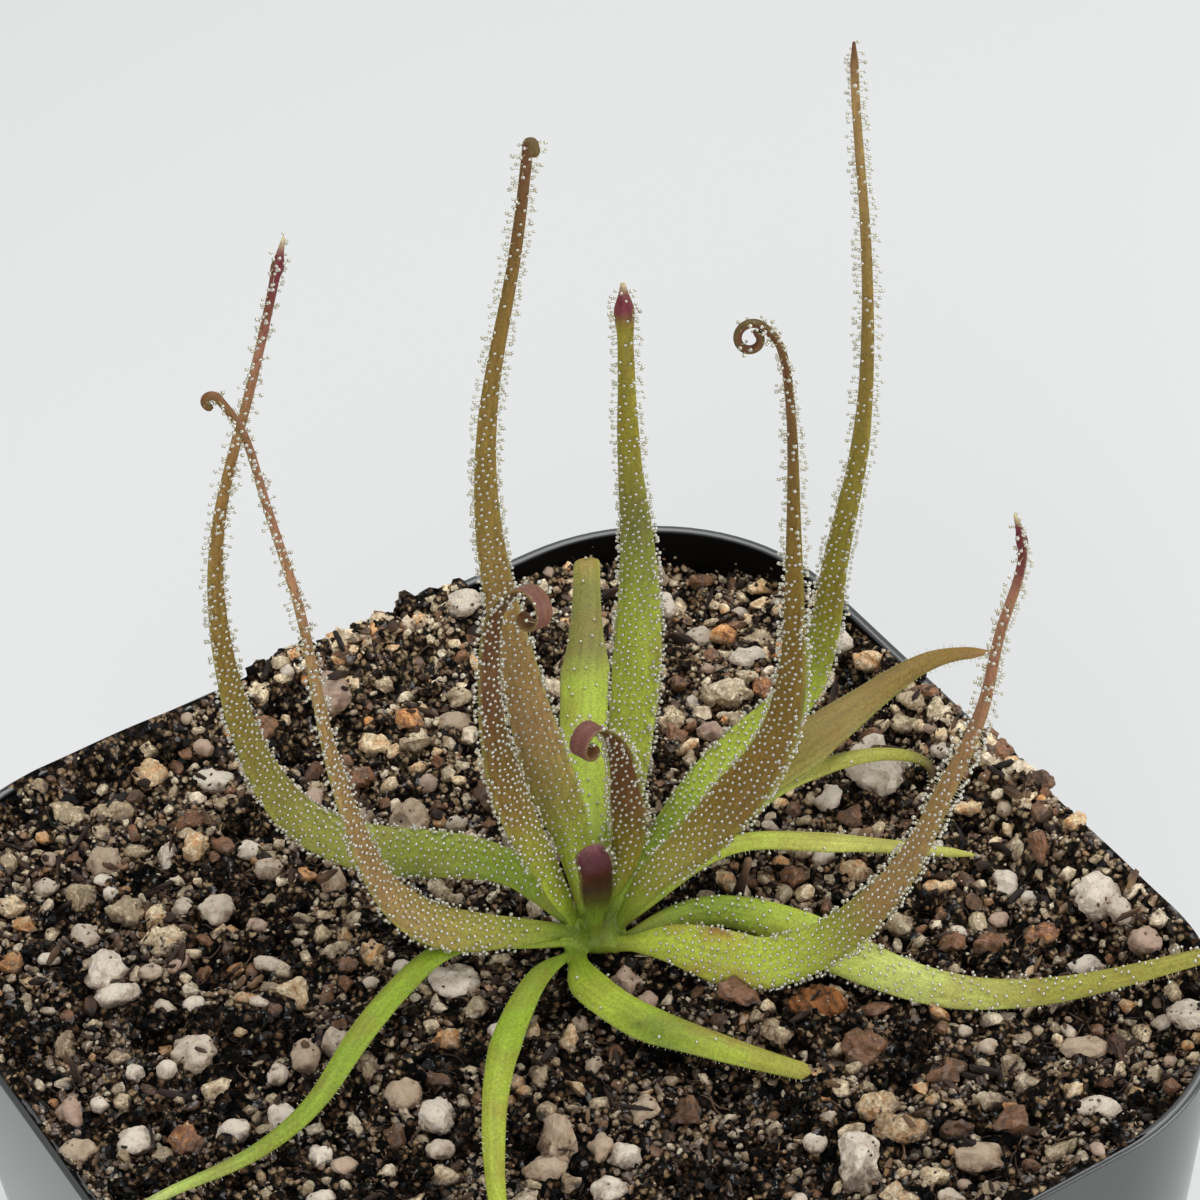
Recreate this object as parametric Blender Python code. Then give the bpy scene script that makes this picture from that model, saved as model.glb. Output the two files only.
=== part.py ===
"""Potted butterwort: a rosette of long sticky leaves in a square nursery pot, at its real size.

Metres, +Z up. The origin is the middle of the pot's underside, with X and Y along the pot's sides.
The leaves are laid out from the crown of the plant, in millimetres to the right, away and up as
seen from the front of the plant, which is turned by FRONT_TURN from the pot's own sides.
"""

import math
import random
from typing import NamedTuple

import bmesh
import bpy
import numpy as np
from mathutils import Matrix, Quaternion, Vector

MM = 0.001

# Pot, outside at the rim
POT_SIDE = 76.0 * MM
POT_CORNER = 16.7 * MM
POT_HEIGHT = 66.0 * MM
POT_WALL = 0.9 * MM
POT_FLOOR = 1.4 * MM
POT_TAPER = 0.095
POT_HEEL = 1.6 * MM
RIM_ROUND = 0.25 * MM
DRAIN_RADIUS = 3.6 * MM
DRAIN_OFFSET = 20.0 * MM

# Soil
SOIL_BELOW_RIM = 2.0 * MM
SOIL_GAP = 0.4 * MM
SOIL_CELLS = 52
SOIL_SWELL = 0.2 * MM
SOIL_WAVES = (9.0 * MM, 7.0 * MM)
SOIL_BANK = 1.3 * MM
SOIL_BANK_WIDTH = 9.0 * MM
SOIL_HEEL = 1.9 * MM
BACK_CORNER_DIP = 1.9 * MM
DIP_STARTS, DIP_FULL = 0.45, 0.85
LUMP_COUNT = 170
LUMP_SIZES = (1.1 * MM, 2.3 * MM)
LUMP_RISE = 0.62
LUMP_SKIRT = 1.25
LUMP_CLEAR_OF_LEAVES = 1.0 * MM
LUMP_SEED = 11

# Crown of the plant, where the leaves meet
CROWN = Vector((3.6, -0.1, 65.5)) * MM
CROWN_RADIUS = 2.25 * MM
CROWN_RISE = 1.8 * MM
CROWN_CENTRE_BELOW = 0.2 * MM
CROWN_DOME = (-18, 78)
STEM_RADIUS = 1.5 * MM
STEM_DEPTH = 7.0 * MM
STEM_SHOULDER = 0.75 * MM
STEM_CLEARANCE = 0.35 * MM
FRONT_TURN = math.radians(-29.5)

# Leaves
LEAF_THICKNESS = 0.62 * MM
LEAF_BASE_WIDTH = 0.95 * MM
LEAF_CAMBER = 0.30
RING_STEP = 1.9 * MM
CURL_RING_STEP = 0.5 * MM
RING_SIDES = 8
TIP_ROUND = 2.4 * MM
BUD_FROM_TIP = 2.2 * MM
BUD_REACH = 1.3 * MM


class Leaf(NamedTuple):
    """One leaf. Route points are millimetres right, away and up from the crown.

    blade and thread are its widest and its last width in millimetres, widest the share of its
    length where the blade is, and fade how soon it narrows from there. roll turns its face about
    its length, in degrees at the foot and at the tip. curl is the first and last radius in
    millimetres and the turns of a coiled tip, bud the width of a swollen one, and tip the share
    of the thread's width that is left at the very end.
    """

    route: tuple
    blade: float
    thread: float
    widest: float = 0.2
    fade: float = 2.0
    roll: tuple = (0, 0)
    curl: tuple = ()
    bud: float = 0
    tip: float = 0.35


LEAVES = {
    "leaf_far_left": Leaf(
        route=(
            (-2.2, 1.2, 0.6), (-5.6, 3.0, 3.8), (-10.7, 4.3, 4.6), (-16.1, 5.6, 4.6), (-20.0, 6.3, 6.7),
            (-22.7, 7.1, 11.8), (-24.2, 8.0, 22.0), (-23.5, 9.1, 31.5), (-20.6, 10.6, 41.0),
            (-17.0, 12.5, 52.8),
        ),
        blade=3.7, thread=0.8, widest=0.2, roll=(-25, 0), bud=1.1,
    ),
    "leaf_left_front": Leaf(
        route=(
            (-2.6, 0.0, 0.45), (-7.0, -0.7, 1.6), (-10.6, -1.0, 2.8), (-13.4, -1.0, 5.3),
            (-15.6, -0.6, 11.0), (-17.2, 0.3, 20.5), (-18.0, 1.2, 30.7), (-19.6, 2.1, 41.0),
            (-20.6, 2.7, 45.6), (-21.6, 2.9, 47.5),
        ),
        blade=3.6, thread=0.62, widest=0.17, roll=(-20, 0), curl=(0.48, 0.42, -0.65),
    ),
    "leaf_left_back": Leaf(
        route=(
            (-1.0, 1.85, 1.3), (-1.2, 3.3, 5.2), (-2.5, 5.5, 9.6), (-3.8, 7.8, 15.6), (-5.0, 9.9, 23.0),
            (-5.4, 11.4, 31.0), (-4.4, 12.8, 39.5), (-2.4, 14.0, 48.0), (-0.8, 15.1, 56.9),
        ),
        blade=3.6, thread=0.75, widest=0.16, roll=(0, 15), curl=(0.4, 0.7, 0.52),
    ),
    "leaf_left_curled": Leaf(
        route=(
            (-1.75, 0.5, 1.4), (-2.6, 0.3, 4.8), (-4.0, 0.4, 9.4), (-5.5, 1.0, 15.5), (-5.9, 1.9, 21.8),
            (-5.7, 2.9, 24.6), (-5.4, 3.1, 26.5), (-4.7, 2.9, 28.6), (-3.6, 2.3, 30.1),
        ),
        blade=3.5, thread=1.5, widest=0.36, roll=(-45, -60), curl=(1.45, 0.55, 0.85),
    ),
    "leaf_back": Leaf(
        route=(
            (0.3, 2.0, 1.25), (1.8, 4.7, 4.1), (2.9, 9.2, 7.8), (4.0, 15.0, 12.2), (4.6, 18.6, 18.3),
            (4.5, 20.8, 25.9), (4.7, 22.4, 32.5), (4.9, 25.0, 38.1),
        ),
        blade=3.9, thread=1.0, widest=0.38, fade=1.6, bud=1.5,
    ),
    "leaf_back_low": Leaf(
        route=(
            (-0.3, 2.7, 0.15), (0.2, 6.2, 2.8), (0.0, 10.0, 3.6), (-0.1, 16.7, 4.1), (0.4, 24.5, 4.6),
            (1.0, 34.5, 5.3),
        ),
        blade=3.7, thread=1.75, widest=0.6, fade=0.9, tip=0.85,
    ),
    "leaf_young_curled": Leaf(
        route=(
            (0.25, 0.65, 2.05), (1.7, 1.4, 4.2), (2.5, 2.0, 6.8), (2.6, 2.6, 10.3), (2.4, 3.0, 13.8),
            (1.9, 2.7, 16.0), (1.1, 2.0, 17.6),
        ),
        blade=2.7, thread=1.5, widest=0.4, roll=(35, 15), curl=(1.25, 0.5, 0.85),
    ),
    "leaf_centre_bud": Leaf(
        route=((0.0, -0.55, 1.95), (0.4, -0.2, 4.6), (0.9, 0.3, 7.2)),
        blade=2.5, thread=1.8, widest=0.25, roll=(45, 45), curl=(0.7, 0.6, 0.45),
    ),
    "leaf_right": Leaf(
        route=(
            (2.0, 0.4, 1.15), (3.6, 0.4, 4.0), (6.9, 0.5, 7.5), (10.0, 1.0, 11.1), (12.5, 1.5, 14.7),
            (14.0, 2.2, 19.0), (14.6, 3.0, 25.0), (14.9, 3.9, 34.5), (15.0, 4.5, 41.0), (14.9, 4.8, 43.8),
            (14.7, 5.1, 45.8), (14.2, 5.4, 47.3), (13.5, 5.6, 48.1),
        ),
        blade=3.7, thread=0.75, widest=0.22, roll=(42, 0), curl=(1.1, 0.45, 1.1),
    ),
    "leaf_tallest": Leaf(
        route=(
            (1.4, 1.4, 1.25), (4.3, 4.3, 3.3), (7.8, 7.6, 5.4), (12.5, 11.5, 7.7), (15.3, 12.9, 9.6),
            (17.3, 14.5, 13.4), (18.4, 15.8, 19.0), (20.2, 17.4, 26.5), (21.2, 18.9, 35.0),
            (21.3, 20.4, 45.5), (20.9, 21.6, 55.5), (20.9, 22.0, 58.5),
        ),
        blade=3.8, thread=0.6, widest=0.17, roll=(10, 0),
    ),
    "leaf_tan": Leaf(
        route=(
            (1.6, 2.0, 0.6), (6.35, 5.35, 2.55), (10.6, 8.9, 4.0), (15.3, 12.2, 5.2), (20.9, 16.6, 5.6),
            (25.9, 19.3, 6.4), (30.3, 20.9, 5.2),
        ),
        blade=3.9, thread=0.8, widest=0.52, fade=1.3, roll=(10, 25),
    ),
    "leaf_dipping": Leaf(
        route=(
            (1.0, 2.75, -0.1), (6.2, 5.4, 1.1), (13.2, 10.8, 2.6), (17.6, 12.3, 3.2), (22.8, 13.4, 2.6),
            (25.0, 13.4, 1.0), (24.9, 12.5, -0.6),
        ),
        blade=2.2, thread=0.7, widest=0.42, fade=1.1, roll=(0, 20),
    ),
    "leaf_yellow": Leaf(
        route=(
            (2.4, 1.3, -0.05), (6.0, 3.2, 1.9), (10.0, 5.0, 2.9), (14.3, 5.9, 2.1), (19.9, 6.1, 0.9),
            (27.4, 5.6, -0.5),
        ),
        blade=2.0, thread=0.7, widest=0.6, fade=1.2,
    ),
    "leaf_long_low": Leaf(
        route=(
            (2.7, -0.1, -0.35), (7.1, 1.2, 0.3), (12.4, -0.5, 0.6), (17.3, -4.0, 0.4), (23.9, -7.8, 0.1),
            (31.6, -9.3, 0.9), (41.0, -9.8, 3.6), (51.0, -8.6, 4.6),
        ),
        blade=3.6, thread=0.8, widest=0.3, fade=1.3, roll=(10, 0),
    ),
    "leaf_right_front": Leaf(
        route=(
            (2.3, -1.4, 0.1), (5.5, -2.6, 0.9), (10.8, -4.8, 0.8), (14.6, -5.3, 2.2), (18.4, -5.6, 5.8),
            (21.3, -5.8, 10.4), (23.8, -6.0, 17.0), (26.4, -6.0, 24.6), (27.6, -6.0, 31.5),
            (28.8, -6.0, 38.4), (28.3, -6.0, 40.7),
        ),
        blade=4.0, thread=0.8, widest=0.18, roll=(38, 10), bud=1.0,
    ),
    "leaf_front_right": Leaf(
        route=(
            (-0.4, -2.7, -0.25), (-0.9, -4.6, 0.3), (0.3, -6.9, 0.6), (3.0, -9.7, 0.9), (6.5, -11.4, 0.5),
            (10.5, -13.2, 0.1), (13.9, -14.4, -0.4),
        ),
        blade=2.9, thread=0.7, widest=0.5, fade=1.3, roll=(10, 15),
    ),
    "leaf_front": Leaf(
        route=(
            (-1.75, -2.1, -0.25), (-3.6, -4.2, 1.0), (-5.7, -8.4, 1.6), (-7.2, -14.0, 1.8),
            (-7.8, -20.4, 0.9), (-7.0, -32.0, -0.4),
        ),
        blade=2.2, thread=0.8, widest=0.35, fade=1.2,
    ),
    "leaf_front_left": Leaf(
        route=(
            (-2.6, -0.9, -0.3), (-6.4, -0.9, 0.1), (-9.7, -1.2, 0.7), (-13.6, -5.0, 1.5),
            (-17.0, -10.2, 1.4), (-20.1, -15.5, 0.9), (-24.3, -19.1, 0.4), (-30.3, -23.8, 1.9),
            (-33.0, -26.0, 2.0),
        ),
        blade=1.9, thread=0.8, widest=0.4, fade=1.1, roll=(0, 35),
    ),
}


def principled(name, colour, roughness):
    """A plain Principled material, with its colour in linear RGB."""
    material = bpy.data.materials.new(name)
    material.use_nodes = True
    shader = material.node_tree.nodes["Principled BSDF"]
    shader.inputs["Base Color"].default_value = (*colour, 1.0)
    shader.inputs["Roughness"].default_value = roughness
    material.diffuse_color = (*colour, 1.0)
    return material


def add_object(name, mesh_builder, material, smooth_angle=40):
    """Turns a bmesh into a named object with its own material, its faces turned outwards."""
    bmesh.ops.recalc_face_normals(mesh_builder, faces=mesh_builder.faces)
    mesh = bpy.data.meshes.new(name)
    mesh_builder.to_mesh(mesh)
    mesh_builder.free()
    mesh.materials.append(material)
    mesh.shade_smooth()
    mesh.set_sharp_from_angle(angle=math.radians(smooth_angle))
    thing = bpy.data.objects.new(name, mesh)
    bpy.context.scene.collection.objects.link(thing)
    return thing


def loft(rings, cap_first=True, cap_last=True):
    """A bmesh skin through rings of points, all rings of equal length."""
    skin = bmesh.new()
    loops = [[skin.verts.new(point) for point in ring] for ring in rings]
    for lower, upper in zip(loops, loops[1:]):
        count = len(lower)
        for i in range(count):
            skin.faces.new((lower[i], lower[(i + 1) % count], upper[(i + 1) % count], upper[i]))
    if cap_first:
        skin.faces.new(loops[0])
    if cap_last:
        skin.faces.new(loops[-1])
    return skin


# Pot


def rounded_square(half, corner, z, steps=8):
    """Points round a square with rounded corners, at height z."""
    points = []
    for quarter in range(4):
        turn = quarter * math.pi / 2
        centre = Matrix.Rotation(turn, 3, "Z") @ Vector((half - corner, half - corner, 0))
        for step in range(steps + 1):
            angle = turn + step / steps * math.pi / 2
            points.append(centre + Vector((corner * math.cos(angle), corner * math.sin(angle), z)))
    return points


def pot_ring(z, inward=0.0):
    """The pot's outline at height z, moved inwards by a wall's thickness or a rounding."""
    narrowing = (POT_HEIGHT - z) * POT_TAPER + inward
    return rounded_square(POT_SIDE / 2 - narrowing, POT_CORNER - narrowing, z)


def build_pot():
    """Thin tapered wall, softly rounded rim and heel, flat floor with four drain holes."""
    rings = [
        pot_ring(0, inward=POT_HEEL),
        pot_ring(POT_HEEL * 0.3, inward=POT_HEEL * 0.3),
        pot_ring(POT_HEEL),
        pot_ring(POT_HEIGHT - RIM_ROUND),
        pot_ring(POT_HEIGHT, inward=RIM_ROUND),
        pot_ring(POT_HEIGHT, inward=POT_WALL - RIM_ROUND),
        pot_ring(POT_HEIGHT - RIM_ROUND, inward=POT_WALL),
        pot_ring(POT_FLOOR + POT_HEEL, inward=POT_WALL),
        pot_ring(POT_FLOOR, inward=POT_WALL + POT_HEEL),
    ]
    black = principled("moulded_black_plastic", (0.012, 0.012, 0.013), 0.42)
    pot = add_object("pot", loft(rings), black)

    drill = bmesh.new()
    for side_x in (-1, 1):
        for side_y in (-1, 1):
            place = Matrix.Translation((side_x * DRAIN_OFFSET, side_y * DRAIN_OFFSET, POT_FLOOR / 2))
            bmesh.ops.create_cone(
                drill, cap_ends=True, segments=16, radius1=DRAIN_RADIUS, radius2=DRAIN_RADIUS,
                depth=POT_FLOOR * 4, matrix=place,
            )
    drains = add_object("drain_drill", drill, black)
    drains.hide_render = True
    drains.display_type = "WIRE"
    cut = pot.modifiers.new("drains", "BOOLEAN")
    cut.operation = "DIFFERENCE"
    cut.object = drains
    return pot


# Leaves


def on_plant(point):
    """A point in millimetres right, away and up from the crown, as a place in the pot's frame."""
    return CROWN + Matrix.Rotation(FRONT_TURN, 3, "Z") @ (Vector(point) * MM)


def smooth_curve(route):
    """A natural cubic spline through the route, as functions of its chord length."""
    points = np.array([on_plant(point) for point in route])
    steps = np.linalg.norm(np.diff(points, axis=0), axis=1)
    knots = np.concatenate(([0.0], np.cumsum(steps)))
    count = len(points)
    system = np.eye(count)
    pull = np.zeros((count, 3))
    for i in range(1, count - 1):
        before, after = steps[i - 1], steps[i]
        system[i, i - 1 : i + 2] = (before, 2 * (before + after), after)
        pull[i] = 6 * ((points[i + 1] - points[i]) / after - (points[i] - points[i - 1]) / before)
    bend = np.linalg.solve(system, pull)

    def at(distance):
        i = int(np.clip(np.searchsorted(knots, distance) - 1, 0, count - 2))
        step = steps[i]
        left, right = knots[i + 1] - distance, distance - knots[i]
        place = (bend[i] * left**3 + bend[i + 1] * right**3) / (6 * step)
        place += (points[i] / step - bend[i] * step / 6) * left
        place += (points[i + 1] / step - bend[i + 1] * step / 6) * right
        return Vector(place)

    return at, knots[-1]


def leaf_width(leaf, share):
    """Width in metres at a share of the leaf's length: narrow foot, broad blade, long thread."""
    if share < leaf.widest:
        rise = share / leaf.widest
        rise = rise * rise * (3 - 2 * rise)
        return LEAF_BASE_WIDTH + (leaf.blade * MM - LEAF_BASE_WIDTH) * rise
    fall = (1 - share) / (1 - leaf.widest)
    return (leaf.thread + (leaf.blade - leaf.thread) * fall**leaf.fade) * MM


def leaf_spine(leaf):
    """Points, tangents and faces of the leaf's middle line, with any curl at its tip."""
    at, length = smooth_curve(leaf.route)
    count = max(6, round(length / RING_STEP))
    points = [at(length * i / count) for i in range(count + 1)]
    up = Vector((0, 0, 1))
    tangents = []
    for i, point in enumerate(points):
        before = points[max(i - 1, 0)]
        after = points[min(i + 1, count)]
        tangents.append((after - before).normalized())
    side = tangents[0].cross(up).normalized()
    sides = [side]
    for old, new in zip(tangents, tangents[1:]):
        side = old.rotation_difference(new) @ side
        sides.append(side)
    start, end = (math.radians(angle) for angle in leaf.roll)
    for i in range(count + 1):
        share = i / count
        turn = start + (end - start) * share**3
        sides[i] = Quaternion(tangents[i], turn) @ sides[i]

    if leaf.curl:
        first, last, turns = leaf.curl
        point, tangent, side = points[-1], tangents[-1], sides[-1]
        whole = abs(turns) * 2 * math.pi
        bent = 0.0
        while bent < whole:
            radius = (first + (last - first) * bent / whole) * MM
            step_angle = CURL_RING_STEP / radius
            half_turn = Quaternion(side, math.copysign(step_angle / 2, turns))
            tangent = half_turn @ tangent
            point = point + tangent * CURL_RING_STEP
            tangent = half_turn @ tangent
            bent += step_angle
            points.append(point)
            tangents.append(tangent)
            sides.append(side)
    return points, tangents, sides


def leaf_rings(leaf):
    """Crescent cross-sections along the leaf, its glandular side convex and its edges rolled back."""
    points, tangents, sides = leaf_spine(leaf)
    travelled = [0.0]
    for before, after in zip(points, points[1:]):
        travelled.append(travelled[-1] + (after - before).length)
    length = travelled[-1]
    rings = []
    for point, tangent, side, distance in zip(points, tangents, sides, travelled):
        share = distance / length
        half = leaf_width(leaf, share) / 2
        to_tip = length - distance
        thick = LEAF_THICKNESS / 2
        if leaf.bud:
            swell = math.exp(-(((to_tip - BUD_FROM_TIP) / BUD_REACH) ** 2))
            half += (leaf.bud * MM / 2 - half) * swell
            thick = max(thick, half * 0.8 * swell)
        if not leaf.curl:
            rounding = min(1.0, leaf.tip + to_tip / TIP_ROUND)
            half *= rounding
            thick *= rounding
        half = max(half, thick)
        face = tangent.cross(side).normalized()
        ring = []
        for k in range(RING_SIDES):
            angle = 2 * math.pi * k / RING_SIDES
            across = math.cos(angle)
            lift = math.sin(angle) * thick - (half - thick) * LEAF_CAMBER * across * across
            ring.append(point + side * across * half - face * lift)
        rings.append(ring)
    return rings


def leaf_colour(name):
    """The leaf's main colour: brown threads, purple young leaves, green and yellow-green blades."""
    browns = ("leaf_left_front", "leaf_left_back", "leaf_left_curled", "leaf_right", "leaf_tan")
    purples = ("leaf_young_curled", "leaf_centre_bud")
    if name in purples:
        return (0.10, 0.035, 0.03)
    if name in browns:
        return (0.20, 0.11, 0.035)
    if name in ("leaf_yellow", "leaf_front", "leaf_back_low"):
        return (0.30, 0.38, 0.05)
    return (0.17, 0.24, 0.035)


def build_leaves():
    for name, leaf in LEAVES.items():
        material = principled(name, leaf_colour(name), 0.45)
        add_object(name, loft(leaf_rings(leaf)), material, smooth_angle=70)


# Crown


def build_crown():
    """A low dome that the leaves meet, with its stem down in the soil."""
    rows, sides = 6, 16
    centre = CROWN - Vector((0, 0, CROWN_CENTRE_BELOW))
    rings = []
    profile = [
        (STEM_RADIUS * 0.5, -STEM_DEPTH),
        (STEM_RADIUS, -STEM_DEPTH * 0.85),
        (STEM_RADIUS, -STEM_SHOULDER),
    ]
    for row in range(rows):
        angle = math.radians(CROWN_DOME[0] + row * (CROWN_DOME[1] - CROWN_DOME[0]) / (rows - 1))
        profile.append((CROWN_RADIUS * math.cos(angle), CROWN_RISE * math.sin(angle)))
    for radius, z in profile:
        ring = []
        for k in range(sides):
            angle = 2 * math.pi * k / sides
            ring.append(centre + Vector((radius * math.cos(angle), radius * math.sin(angle), z)))
        rings.append(ring)
    add_object("crown", loft(rings), principled("leaf_bases", (0.16, 0.24, 0.04), 0.5))


# Soil


def rounded_cell(u, v, half, corner):
    """Maps the square from -1 to 1 onto the rounded square, so a grid fits the pot."""
    straight = (half - corner) / half
    x, y = u * half, v * half
    if abs(u) > straight and abs(v) > straight:
        s = (abs(u) - straight) / (1 - straight)
        t = (abs(v) - straight) / (1 - straight)
        x = math.copysign(half - corner + corner * s * math.sqrt(1 - t * t / 2), u)
        y = math.copysign(half - corner + corner * t * math.sqrt(1 - s * s / 2), v)
    return x, y


def leaf_footprints():
    """Places in plan, with half widths, of the leaf stretches that run low over the soil."""
    low = CROWN.z + 3.5 * MM
    prints = []
    for leaf in LEAVES.values():
        at, length = smooth_curve(leaf.route)
        for i in range(41):
            place = at(length * i / 40)
            if place.z < low:
                prints.append((place.x, place.y, leaf_width(leaf, i / 40) / 2))
    return prints


def scatter_lumps(half):
    """Perlite and coarse grains that stand out of the soil, clear of the leaves and the crown."""
    draw = random.Random(LUMP_SEED)
    prints = leaf_footprints()
    prints.append((CROWN.x, CROWN.y, CROWN_RADIUS + 1.5 * MM))
    lumps = []
    tries = 0
    while len(lumps) < LUMP_COUNT and tries < 4000:
        tries += 1
        radius = LUMP_SIZES[0] + (LUMP_SIZES[1] - LUMP_SIZES[0]) * draw.random() ** 2
        reach = half - radius - 1.0 * MM
        x, y = rounded_cell(draw.uniform(-1, 1), draw.uniform(-1, 1), reach, POT_CORNER)
        if any(math.hypot(x - a, y - b) < radius + r + LUMP_CLEAR_OF_LEAVES for a, b, r in prints):
            continue
        if any(math.hypot(x - a, y - b) < (radius + r) * 1.05 for a, b, r in lumps):
            continue
        lumps.append((x, y, radius))
    return lumps


def soil_height(x, y, half, lumps):
    """Height of the soil above its level: banked up to the rim, dipped at the back, with lumps."""
    wave_x, wave_y = x / SOIL_WAVES[0], y / SOIL_WAVES[1]
    height = SOIL_SWELL * (math.sin(wave_x + 1.3 * math.sin(wave_y)) + 0.6 * math.sin(2.3 * wave_y - wave_x))
    from_wall = half - max(abs(x), abs(y))
    height += SOIL_BANK * max(0.0, 1 - from_wall / SOIL_BANK_WIDTH) ** 1.5
    into_corner = (x + y) / (2 * half)
    height -= BACK_CORNER_DIP * max(0.0, (into_corner - DIP_STARTS) / (DIP_FULL - DIP_STARTS))
    for a, b, radius in lumps:
        near = math.hypot(x - a, y - b) / (radius * LUMP_SKIRT)
        if near < 1:
            height += radius * LUMP_RISE * (1 - near**3)
    return height


def build_soil():
    """The bed that fills the pot, lumpy on top, with a plain hole for the stem."""
    level = POT_HEIGHT - SOIL_BELOW_RIM
    top_in = (POT_HEIGHT - level) * POT_TAPER + POT_WALL + SOIL_GAP
    half, corner = POT_SIDE / 2 - top_in, POT_CORNER - top_in
    lumps = scatter_lumps(half)
    bed = bmesh.new()
    grid = []
    for row in range(SOIL_CELLS + 1):
        v = 2 * row / SOIL_CELLS - 1
        line = []
        for column in range(SOIL_CELLS + 1):
            u = 2 * column / SOIL_CELLS - 1
            x, y = rounded_cell(u, v, half, corner)
            rise = soil_height(x, y, half, lumps)
            flare = 1 + rise * POT_TAPER / half
            line.append(bed.verts.new((x * flare, y * flare, level + rise)))
        grid.append(line)
    for near, far in zip(grid, grid[1:]):
        for column in range(SOIL_CELLS):
            bed.faces.new((near[column], near[column + 1], far[column + 1], far[column]))
    edges = [edge for edge in bed.edges if edge.is_boundary]
    floor = POT_FLOOR + SOIL_GAP
    shrink = 1 - (level - floor) * POT_TAPER / half
    skirt = bmesh.ops.extrude_edge_only(bed, edges=edges)["geom"]
    for vert in (item for item in skirt if isinstance(item, bmesh.types.BMVert)):
        vert.co = Vector((vert.co.x * shrink, vert.co.y * shrink, floor + SOIL_HEEL))
    rim = [item for item in skirt if isinstance(item, bmesh.types.BMEdge)]
    heel = bmesh.ops.extrude_edge_only(bed, edges=rim)["geom"]
    inset = 1 - SOIL_HEEL / half
    for vert in (item for item in heel if isinstance(item, bmesh.types.BMVert)):
        vert.co = Vector((vert.co.x * inset, vert.co.y * inset, floor))
    bmesh.ops.holes_fill(bed, edges=[edge for edge in bed.edges if edge.is_boundary])
    soil = add_object("soil", bed, principled("potting_soil", (0.035, 0.025, 0.02), 0.95))

    bore = bmesh.new()
    depth = STEM_DEPTH + 1.2 * MM
    place = Matrix.Translation(CROWN - Vector((0, 0, depth / 2)))
    hole_radius = STEM_RADIUS + STEM_CLEARANCE
    bmesh.ops.create_cone(
        bore, cap_ends=True, segments=20, radius1=hole_radius, radius2=hole_radius,
        depth=depth, matrix=place,
    )
    stem_hole = add_object("stem_hole", bore, soil.data.materials[0])
    stem_hole.hide_render = True
    stem_hole.display_type = "WIRE"
    cut = soil.modifiers.new("stem_hole", "BOOLEAN")
    cut.operation = "DIFFERENCE"
    cut.object = stem_hole


def main():
    for thing in list(bpy.data.objects):
        bpy.data.objects.remove(thing)
    build_pot()
    build_soil()
    build_crown()
    build_leaves()


main()
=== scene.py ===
import itertools
import math
import random
from typing import NamedTuple

import bmesh
import bpy
import numpy as np
from mathutils import Matrix, Quaternion, Vector, noise


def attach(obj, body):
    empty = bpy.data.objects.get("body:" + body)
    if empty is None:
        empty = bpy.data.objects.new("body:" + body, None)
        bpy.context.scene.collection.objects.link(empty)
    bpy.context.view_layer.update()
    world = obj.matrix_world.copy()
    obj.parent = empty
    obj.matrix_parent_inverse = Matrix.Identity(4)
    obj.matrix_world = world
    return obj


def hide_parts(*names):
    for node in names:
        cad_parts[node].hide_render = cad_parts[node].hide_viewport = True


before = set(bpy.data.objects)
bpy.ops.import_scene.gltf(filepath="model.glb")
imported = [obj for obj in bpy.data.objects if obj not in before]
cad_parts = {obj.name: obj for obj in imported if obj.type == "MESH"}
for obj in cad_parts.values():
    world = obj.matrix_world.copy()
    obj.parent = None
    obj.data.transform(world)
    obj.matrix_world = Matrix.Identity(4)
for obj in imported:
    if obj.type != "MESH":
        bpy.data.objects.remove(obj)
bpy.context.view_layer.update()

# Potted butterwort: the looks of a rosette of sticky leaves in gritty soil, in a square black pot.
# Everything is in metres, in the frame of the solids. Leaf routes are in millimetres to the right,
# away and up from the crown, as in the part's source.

MM = 0.001

# Camera, as the photograph was taken
PHOTO_SIDE = 1200
CAMERA_AIM = Vector((22.55, 29.70, 66.0)) * MM
CAMERA_DISTANCE = 319.8 * MM
CAMERA_TURN = math.radians(-29.53)
CAMERA_HEIGHT = math.radians(40.73)
CAMERA_ROLL = math.radians(-3.93)
CAMERA_LENS = 124.6
SENSOR = 36.0

# Pot, outside at the rim
POT_SIDE = 76.0 * MM
POT_CORNER = 16.7 * MM
POT_HEIGHT = 66.0 * MM
POT_WALL = 0.9 * MM
POT_FLOOR = 1.4 * MM
POT_TAPER = 0.095
POT_HEEL = 1.6 * MM
RIM_ROUND = 0.25 * MM
LIP_STEPS = 8
DRAIN_RADIUS = 3.6 * MM
DRAIN_OFFSET = 20.0 * MM
DRAIN_SIDES = 32
SHARP_ANGLE = math.radians(35)

# Soil
SOIL_LEVEL = 64.0 * MM
SOIL_GAP = 0.2 * MM
SOIL_HEEL = 1.9 * MM
SWELL_RISE = 0.25 * MM
SWELL = 8 * MM
SOIL_BANK = 2.2 * MM
SOIL_BANK_WIDTH = 6.0 * MM
BACK_CORNER_DIP = 1.9 * MM
RIGHT_HEAP = 0.9 * MM
BARE_PATCH = (2.0 * MM, -14.0 * MM)
PATCH_REACH = 9.0 * MM
COARSE = 0.55 * MM
CLUMP = 3.2 * MM
BARE_SPOT = 6.5 * MM
RIM_SLOPE = 1.2 * MM
RIM_CRUMBS = {"crumb": 60, "grit": 90, "small_chippings": 46}
RIGHT_STRETCH = (-12 * MM, 11 * MM)
BACK_STRETCH = (-5 * MM, 17 * MM)
BACK_HEAP = 1.3 * MM
HEAP_END = 3.0 * MM
BED_CELL = 0.36 * MM
EDGE_CALM = 0.8 * MM
BED_ROUGHNESS = 0.5 * MM
SCATTER_SEED = 5
SEARCH_CELL = 2.5 * MM
STONES_WITHIN = POT_SIDE / 2 - 0.7 * MM
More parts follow.
